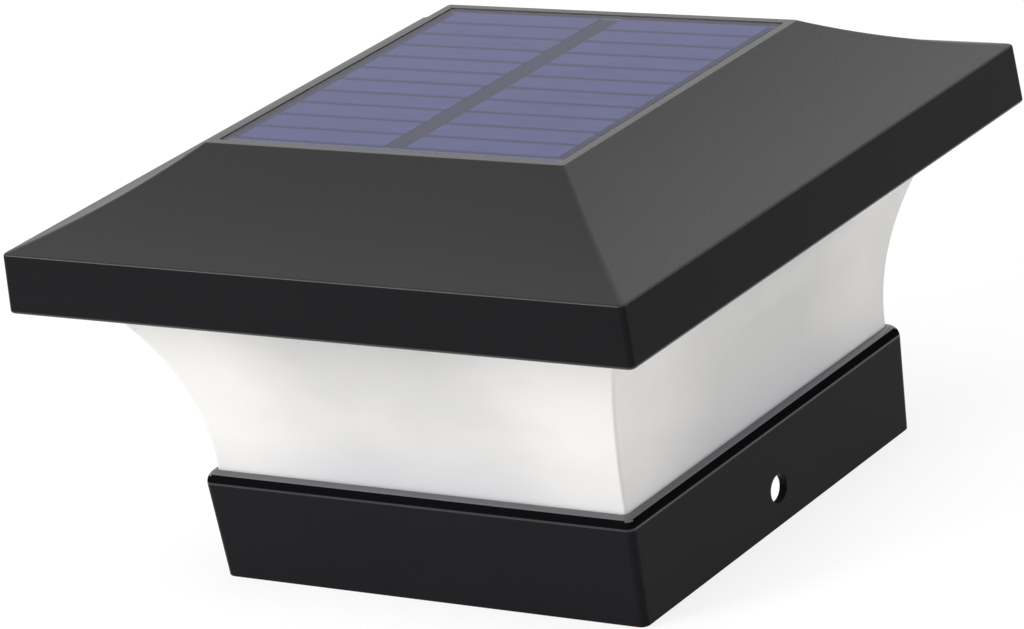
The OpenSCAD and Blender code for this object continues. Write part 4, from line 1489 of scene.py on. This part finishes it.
@dataclass
class Collar(SubAssembly):
    """The collar that goes over the post, with the ledge that stops on it."""

    corner: float = 1.5 * MM
    foot_half: float = 48.4 * MM
    foot_edge: float = 0.35 * MM
    wall: float = 2.0 * MM
    shoulder: float = 1.8 * MM
    shoulder_drop: float = 2.5 * MM
    shoulder_steps: int = 9
    rebate_half: float = 47.25 * MM
    rebate_depth: float = 2.0 * MM
    rebate_edge: float = 0.12 * MM
    ledge: float = 4.0 * MM
    throat_half: float = 41.4 * MM
    pad_from: float = 38.4 * MM
    side_hole_radius: float = 2.75 * MM
    side_hole_height: float = 7.4 * MM
    hole_reach: float = 0.1 * MM
    hole_break: float = 0.25 * MM
    hole_break_steps: int = 2
    screw_hole_radius: float = 1.5 * MM
    sink_radius: float = 2.7 * MM
    sink_depth: float = 1.9 * MM
    cut_margin: float = 1.0 * MM
    # faces that face up more than this get the painted highlight
    painted_highlight_from: float = 0.65
    # faces between this and the highlight get painted shade
    painted_shade_from: float = 0.15
    line_from: float = 0.03

    def build(self) -> None:
        """Models the collar."""
        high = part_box("base_collar")[1]
        shoulder_z = high.z - self.shoulder_drop
        ledge_top = high.z - self.rebate_depth
        start = (self.foot_half - self.wall / 2, 0.0, 0.0)
        form = SquareForm("post_collar", start[:2], self.corner)
        side = [start, (self.foot_half, 0.0, self.foot_edge), (high.x, shoulder_z, 0.0)]
        arc = self.shoulder_curve(high)
        rim = [(*arc[-1], 0.0), (self.rebate_half, high.z, self.rebate_edge)]
        rim += [(self.rebate_half, ledge_top, 0.0)]
        form.draw([*round_corners(side)[1:], *arc[1:-1], *round_corners(rim, steps=2)], 1)
        socket = self.foot_half - self.wall
        form.draw([(socket, 0.0), (socket, ledge_top - self.ledge)], -1)
        form.mend()
        self.cut_throat(form.piece, ledge_top)
        self.cut_side_holes(form.piece, high.x)
        self.cut_screw_holes(form.piece, ledge_top)
        smooth(form.piece)
        self.fit(form.piece, HOUSING, Slot.COLLAR, ["base_collar"])
        self.polish(form.piece, shoulder_z)

    def shoulder_curve(self, high: Vector) -> list[Point]:
        """The shoulder's quarter of an ellipse, from the side up to the rim.

        Args:
            high: The collar's highest corner.

        Returns:
            Half width and height of each step.
        """
        steps = self.shoulder_steps
        turns = [math.radians(90 * step / steps) for step in range(steps + 1)]
        inner, low = high.x - self.shoulder, high.z - self.shoulder_drop
        return [
            (inner + self.shoulder * math.cos(turn), low + self.shoulder_drop * math.sin(turn))
            for turn in turns
        ]

    def polish(self, piece: bpy.types.Object, shoulder_z: float) -> None:
        """Paints a highlight on the shoulder's rim and shade on its round, and gives it a polished line
        below it.

        Args:
            piece: The collar.
            shoulder_z: Height at which the shoulder starts.
        """
        bands = (
            (PAINTED_RIM_HIGHLIGHT, self.painted_highlight_from, math.inf),
            (PAINTED_SHADE_BLACK, self.painted_shade_from, self.painted_highlight_from),
            (POLISHED_EDGE, self.line_from, self.painted_shade_from),
        )
        for finish, least, most in bands:
            self.finishes.tint(piece, finish, self.band(shoulder_z, least, most))

    @staticmethod
    def band(shoulder_z: float, least: float, most: float) -> Test:
        """Picks faces of the shoulder by how far up they face, from least to most."""
        return lambda at, way: at.z > shoulder_z and least < way.z <= most

    def cut_throat(self, piece: bpy.types.Object, ledge_top: float) -> None:
        """Opens the ledge, with a pad left in each corner for the screws.

        Args:
            piece: The collar.
            ledge_top: Height of the ledge's upper face.
        """
        low, high = ledge_top - self.ledge - self.cut_margin, ledge_top + self.cut_margin
        for along, across in ((self.throat_half, self.pad_from), (self.pad_from, self.throat_half)):
            combine(piece, block((-along, -across, low), (along, across, high)), "DIFFERENCE")

    def cut_side_holes(self, piece: bpy.types.Object, half: float) -> None:
        """Drills the two side screw holes, each with its outer edge broken.

        Args:
            piece: The collar.
            half: Half the collar's width.
        """
        bore = rod((0.0, 0.0), self.side_hole_radius, -2 * half, 2 * half)
        bore.rotation_euler = (0.0, math.radians(90), 0.0)
        bore.location.z = self.side_hole_height
        settle(bore)
        combine(piece, bore, "DIFFERENCE")
        outside = self.foot_half - self.hole_reach
        around = self.side_hole_radius + self.hole_reach
        with Editing(piece, "EDGE") as edit:
            edit.pick(
                lambda at, way: abs(at.x) > outside
                and math.hypot(at.y, at.z - self.side_hole_height) < around
            )
            edit.round(self.hole_break, self.hole_break_steps)

    def cut_screw_holes(self, piece: bpy.types.Object, ledge_top: float) -> None:
        """Drills the four corner screw holes and sinks their heads into the ledge.

        Args:
            piece: The collar.
            ledge_top: Height of the ledge's upper face.
        """
        seat = ledge_top - self.ledge
        below, above = seat - self.cut_margin, ledge_top + self.cut_margin
        for at in self.screw_places("collar_screws"):
            combine(piece, rod(at, self.screw_hole_radius, below, above), "DIFFERENCE")
            combine(piece, rod(at, self.sink_radius, below, seat + self.sink_depth), "DIFFERENCE")


class Pattern(Enum):
    """How a set of screws is spread."""

    CORNERS = "one at each corner"
    DIAGONAL = "two at opposite corners"


class Facing(Enum):
    """Which way a set of screws points."""

    UP = "driven from below"
    DOWN = "driven from above"


@dataclass(frozen=True)
class ScrewSize:
    """Sizes of a pan head screw."""

    head: float
    height: float
    thread: float
    core_share: float = 0.76
    pitch: float = 0.9 * MM
    tip: float = 1.0 * MM

    @property
    def radius(self) -> float:
        """Half the head's width."""
        return self.head / 2


@dataclass
class ScrewSet(SubAssembly):
    """All pan head screws, with domed heads, cross recesses, ridged threads and pointed tips."""

    CASE = ScrewSize(head=4.8 * MM, height=1.6 * MM, thread=2.5 * MM)
    BOARD = ScrewSize(
        head=3.6 * MM, height=1.2 * MM, thread=1.9 * MM, pitch=0.7 * MM, tip=0.7 * MM
    )

    sides: int = 40
    near: float = 0.01 * MM
    dome_steps: int = 4
    dome_share: float = 0.45
    arm_share: float = 0.55
    slot_share: float = 0.12
    recess_share: float = 0.5
    point_share: float = 0.3

    def screw(self, length: float, size: ScrewSize) -> bpy.types.Object:
        """Models one screw that points up, with its seat at height 0.

        Args:
            length: Length below the head.
            size: Its sizes.

        Returns:
            The screw.
        """
        piece = rod((0.0, 0.0), size.radius, -size.height, 0.0, self.sides)
        with Editing(piece, "EDGE") as edit:
            edit.pick(lambda at, way: abs(at.z + size.height) < self.near and abs(way.z) < LEVEL)
            edit.round(self.dome_share * size.height, self.dome_steps)
        with Editing(piece) as edit:
            edit.pick(lambda at, way: way.z > UPRIGHT)
            bpy.ops.mesh.inset(thickness=size.radius - size.thread / 2)
            turns = int((length - size.tip) / size.pitch)
            for _ in range(turns):
                edit.draw(size.pitch / 2, size.core_share)
                edit.draw(size.pitch / 2, 1 / size.core_share)
            edit.draw(length - turns * size.pitch, self.point_share)
        arm, slot = self.arm_share * size.radius, self.slot_share * size.radius
        bottom = self.recess_share * size.height - size.height
        for along, across in ((arm, slot), (slot, arm)):
            below = -size.height - self.near
            cutter = block((-along, -across, below), (along, across, bottom))
            combine(piece, cutter, "DIFFERENCE")
        return piece

    def place(
        self,
        node: str,
        name: str,
        size: ScrewSize,
        pattern: Pattern = Pattern.CORNERS,
        facing: Facing = Facing.UP,
        body: str = HOUSING,
    ) -> None:
        """Puts a screw at each place of a construction node's screws.

        Args:
            node: The construction node.
            name: The new piece's name.
            size: The screws' sizes.
            pattern: How the screws are spread.
            facing: Which way they point.
            body: The body that they move with.
        """
        low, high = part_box(node)
        model = self.screw(high.z - low.z - size.height, size)
        left, right = low.x + size.radius, high.x - size.radius
        front, back = low.y + size.radius, high.y - size.radius
        places = [(left, front), (right, back)]
        if pattern is Pattern.CORNERS:
            places += [(left, back), (right, front)]
        turn, seat = Matrix.Identity(4), low.z + size.height
        if facing is Facing.DOWN:
            turn, seat = Matrix.Rotation(math.pi, 4, "X"), high.z - size.height
        screws = []
        for x, y in places:
            screw = added(name, model.data.copy())
            screw.data.transform(Matrix.Translation((x, y, seat)) @ turn)
            screws.append(screw)
        bpy.data.objects.remove(model)
        piece = joined(screws, name)
        smooth(piece)
        self.fit(piece, body, Slot.SCREW, [node])

    def build(self) -> None:
        """Places all sets of screws."""
        pair, down = Pattern.DIAGONAL, Facing.DOWN
        self.place("flange_screws", "diffuser_screw_set", self.CASE)
        self.place("tray_screws", "tray_screw_set", self.CASE)
        self.place("collar_screws", "collar_screw_set", self.CASE)
        self.place("battery_door_screws", "door_screw_set", self.CASE, pair, body="battery_door")
        self.place("led_board_screws", "light_board_screw_set", self.BOARD)
        self.place("control_board_screws", "control_board_screw_set", self.BOARD, pair, down)


@dataclass
class Tray(SubAssembly):
    """The white tray under the roof, with the battery, its door and the boards."""

    edge: float = 0.3 * MM

    def build(self) -> None:
        """Dresses the tray and all that it carries."""
        self.softened("tray", "moulded_tray", self.edge, Slot.WHITE)
        self.softened("battery_door", "battery_cover", self.edge, Slot.WHITE, "battery_door")
        self.softened("switch_slider", "switch_stem", self.edge / 2, Slot.WHITE, "switch_slider")
        self.softened("led_bodies", "lamp_bodies", self.edge / 3, Slot.WHITE)
        self.keep(Slot.GASKET, "roof_gasket")
        self.keep(Slot.CAN, "battery_can", "battery_spring", "switch_case")
        self.keep(Slot.SLEEVE, "battery_sleeve")
        self.keep(Slot.BRASS, "spring_plate", "nub_plate")
        self.keep(Slot.RED, "battery_lead_red", "led_lead_red")
        self.keep(Slot.BLACK, "battery_lead_black", "led_lead_black")
        self.keep(Slot.GREEN_BOARD, "control_board")
        self.keep(Slot.CHIP, "control_chip", "diode")
        self.keep(Slot.COPPER, "choke_coil")
        self.keep(Slot.FERRITE, "choke_core")
        self.keep(Slot.CAPACITOR, "capacitor")
        self.keep(Slot.WHITE_BOARD, "led_board_front", "led_board_rear")
        self.keep(Slot.PHOSPHOR, "led_windows")


# ---- stage, light and camera ----


@dataclass(frozen=True)
class Lamp:
    """A soft square lamp."""

    name: str
    place: Triple
    size: float
    power: float

    def hang(self, target: Vector) -> None:
        """Hangs the lamp and aims it.

        Args:
            target: The point that it shines at.
        """
        data = bpy.data.lights.new(self.name, "AREA")
        data.shape = "SQUARE"
        data.size = self.size
        data.energy = self.power
        lamp = added(self.name, data)
        lamp.location = self.place
        lamp.rotation_euler = (target - Vector(self.place)).to_track_quat("-Z", "Y").to_euler()
        lamp.visible_camera = False


@dataclass
class Studio:
    """A pale floor, soft lamps and a pale surround.

    The floor is open under the collar, so that a view from below finds the inside lit.
    """

    floor_half: float = 6.0
    opening_half: float = 47.4 * MM
    floor_pale: float = 0.8
    glow: float = 0.8
    shadow_pale: float = 0.25
    fill: float = 0.42
    lamps: tuple[Lamp, ...] = (
        Lamp("key_lamp", (-1.1, -1.36, 0.75), size=0.8, power=25.0),
        Lamp("top_lamp", (0.2, -0.3, 2.0), size=1.2, power=10.0),
        Lamp("back_lamp", (-0.1, 1.35, 1.2), size=1.2, power=4.0),
        Lamp("right_lamp", (1.5, 0.9, 0.6), size=0.9, power=7.0),
        Lamp("under_lamp", (0.1, -0.15, -0.8), size=0.5, power=5.0),
    )
    target: Vector = field(default_factory=lambda: Vector((0.0, 0.0, 0.045)))

    def build(self) -> None:
        """Lays the floor and lights the set."""
        bpy.ops.object.select_all(action="DESELECT")
        bpy.ops.mesh.primitive_plane_add(size=2 * self.floor_half, location=(0.0, 0.0, 0.0))
        floor = bpy.context.active_object
        floor.name = "floor"
        with Editing(floor) as edit:
            edit.pick_all()
            bpy.ops.mesh.inset(thickness=self.floor_half - self.opening_half)
            bpy.ops.mesh.delete(type="FACE")
        floor.data.materials.append(self.floor_material())
        self.surround()
        for lamp in self.lamps:
            lamp.hang(self.target)
        log.info("floor and %d lamps are set", len(self.lamps))

    @staticmethod
    def seen(nodes: bpy.types.Nodes, links: bpy.types.NodeLinks) -> Socket:
        """Tells what is seen from light that falls on things.

        Args:
            nodes: Where the nodes are added.
            links: Their links.

        Returns:
            1 for what the camera, a reflection or glass sees, and 0 for other rays.
        """
        path = nodes.new("ShaderNodeLightPath")
        total = path.outputs["Is Camera Ray"]
        for name in ("Is Glossy Ray", "Is Transmission Ray"):
            most = nodes.new("ShaderNodeMath")
            most.operation = "MAXIMUM"
            links.new(total, most.inputs[0])
            links.new(path.outputs[name], most.inputs[1])
            total = most.outputs[0]
        return total

    def floor_material(self) -> bpy.types.Material:
        """Makes white paper that keeps the object's shadow, and isn't there from below.

        Returns:
            The material.
        """
        material = bpy.data.materials.new("white_paper")
        material.use_nodes = True
        nodes, links = material.node_tree.nodes, material.node_tree.links
        nodes.clear()
        paper = nodes.new("ShaderNodeBsdfDiffuse")
        paper.inputs["Color"].default_value = (self.floor_pale,) * 3 + (1.0,)
        shadowed = nodes.new("ShaderNodeBsdfDiffuse")
        shadowed.inputs["Color"].default_value = (self.shadow_pale,) * 3 + (1.0,)
        glow = nodes.new("ShaderNodeEmission")
        glow.inputs["Strength"].default_value = self.glow
        both = nodes.new("ShaderNodeAddShader")
        links.new(shadowed.outputs[0], both.inputs[0])
        links.new(glow.outputs[0], both.inputs[1])
        mix = nodes.new("ShaderNodeMixShader")
        links.new(self.seen(nodes, links), mix.inputs[0])
        links.new(paper.outputs[0], mix.inputs[1])
        links.new(both.outputs[0], mix.inputs[2])
        below = nodes.new("ShaderNodeMixShader")
        links.new(nodes.new("ShaderNodeNewGeometry").outputs["Backfacing"], below.inputs[0])
        links.new(mix.outputs[0], below.inputs[1])
        links.new(nodes.new("ShaderNodeBsdfTransparent").outputs[0], below.inputs[2])
        links.new(below.outputs[0], nodes.new("ShaderNodeOutputMaterial").inputs["Surface"])
        return material

    def surround(self) -> None:
        """A white surround that gives the object only a soft fill."""
        world = bpy.data.worlds.new("surround")
        bpy.context.scene.world = world
        world.use_nodes = True
        nodes, links = world.node_tree.nodes, world.node_tree.links
        nodes.clear()
        strength = nodes.new("ShaderNodeMapRange")
        strength.inputs["To Min"].default_value = self.fill
        strength.inputs["To Max"].default_value = 1.0
        links.new(self.seen(nodes, links), strength.inputs["Value"])
        background = nodes.new("ShaderNodeBackground")
        background.inputs["Color"].default_value = (1.0, 1.0, 1.0, 1.0)
        links.new(strength.outputs["Result"], background.inputs["Strength"])
        links.new(background.outputs[0], nodes.new("ShaderNodeOutputWorld").inputs["Surface"])


@dataclass(frozen=True)
class PhotoCamera:
    """The photograph's camera, solved from the object's corners."""

    azimuth: float = 37.26
    elevation: float = 19.59
    roll: float = -9.39
    distance: float = 980.8 * MM
    lens: float = 180.0
    target: Triple = (-4.04 * MM, -3.85 * MM, 40.2 * MM)

    def set_up(self) -> None:
        """Makes the camera and the scene's view settings."""
        angles = (self.azimuth, self.elevation, self.roll)
        azimuth, elevation, roll = (math.radians(angle) for angle in angles)
        level = math.cos(elevation)
        back = Vector((math.sin(azimuth) * level, -math.cos(azimuth) * level, math.sin(elevation)))
        right = (-back).cross(Vector((0.0, 0.0, 1.0))).normalized()
        up = right.cross(-back)
        turned_right = math.cos(roll) * right + math.sin(roll) * up
        turned_up = math.cos(roll) * up - math.sin(roll) * right
        data = bpy.data.cameras.new("photo_camera")
        data.lens = self.lens
        camera = added("photo_camera", data)
        turn = Matrix((turned_right, turned_up, back)).transposed().to_4x4()
        camera.matrix_world = Matrix.Translation(Vector(self.target) + back * self.distance) @ turn
        bpy.context.scene.camera = camera
        bpy.context.scene.view_settings.view_transform = "Standard"


def main() -> None:
    logging.basicConfig(level=logging.INFO, format="%(name)s: %(message)s")
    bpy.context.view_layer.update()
    finishes = Finishes()
    for part in (Roof, SolarPanel, Diffuser, Collar, ScrewSet, Tray):
        part(finishes).build()
    Studio().build()
    PhotoCamera().set_up()


if __name__ == "__main__":
    main()
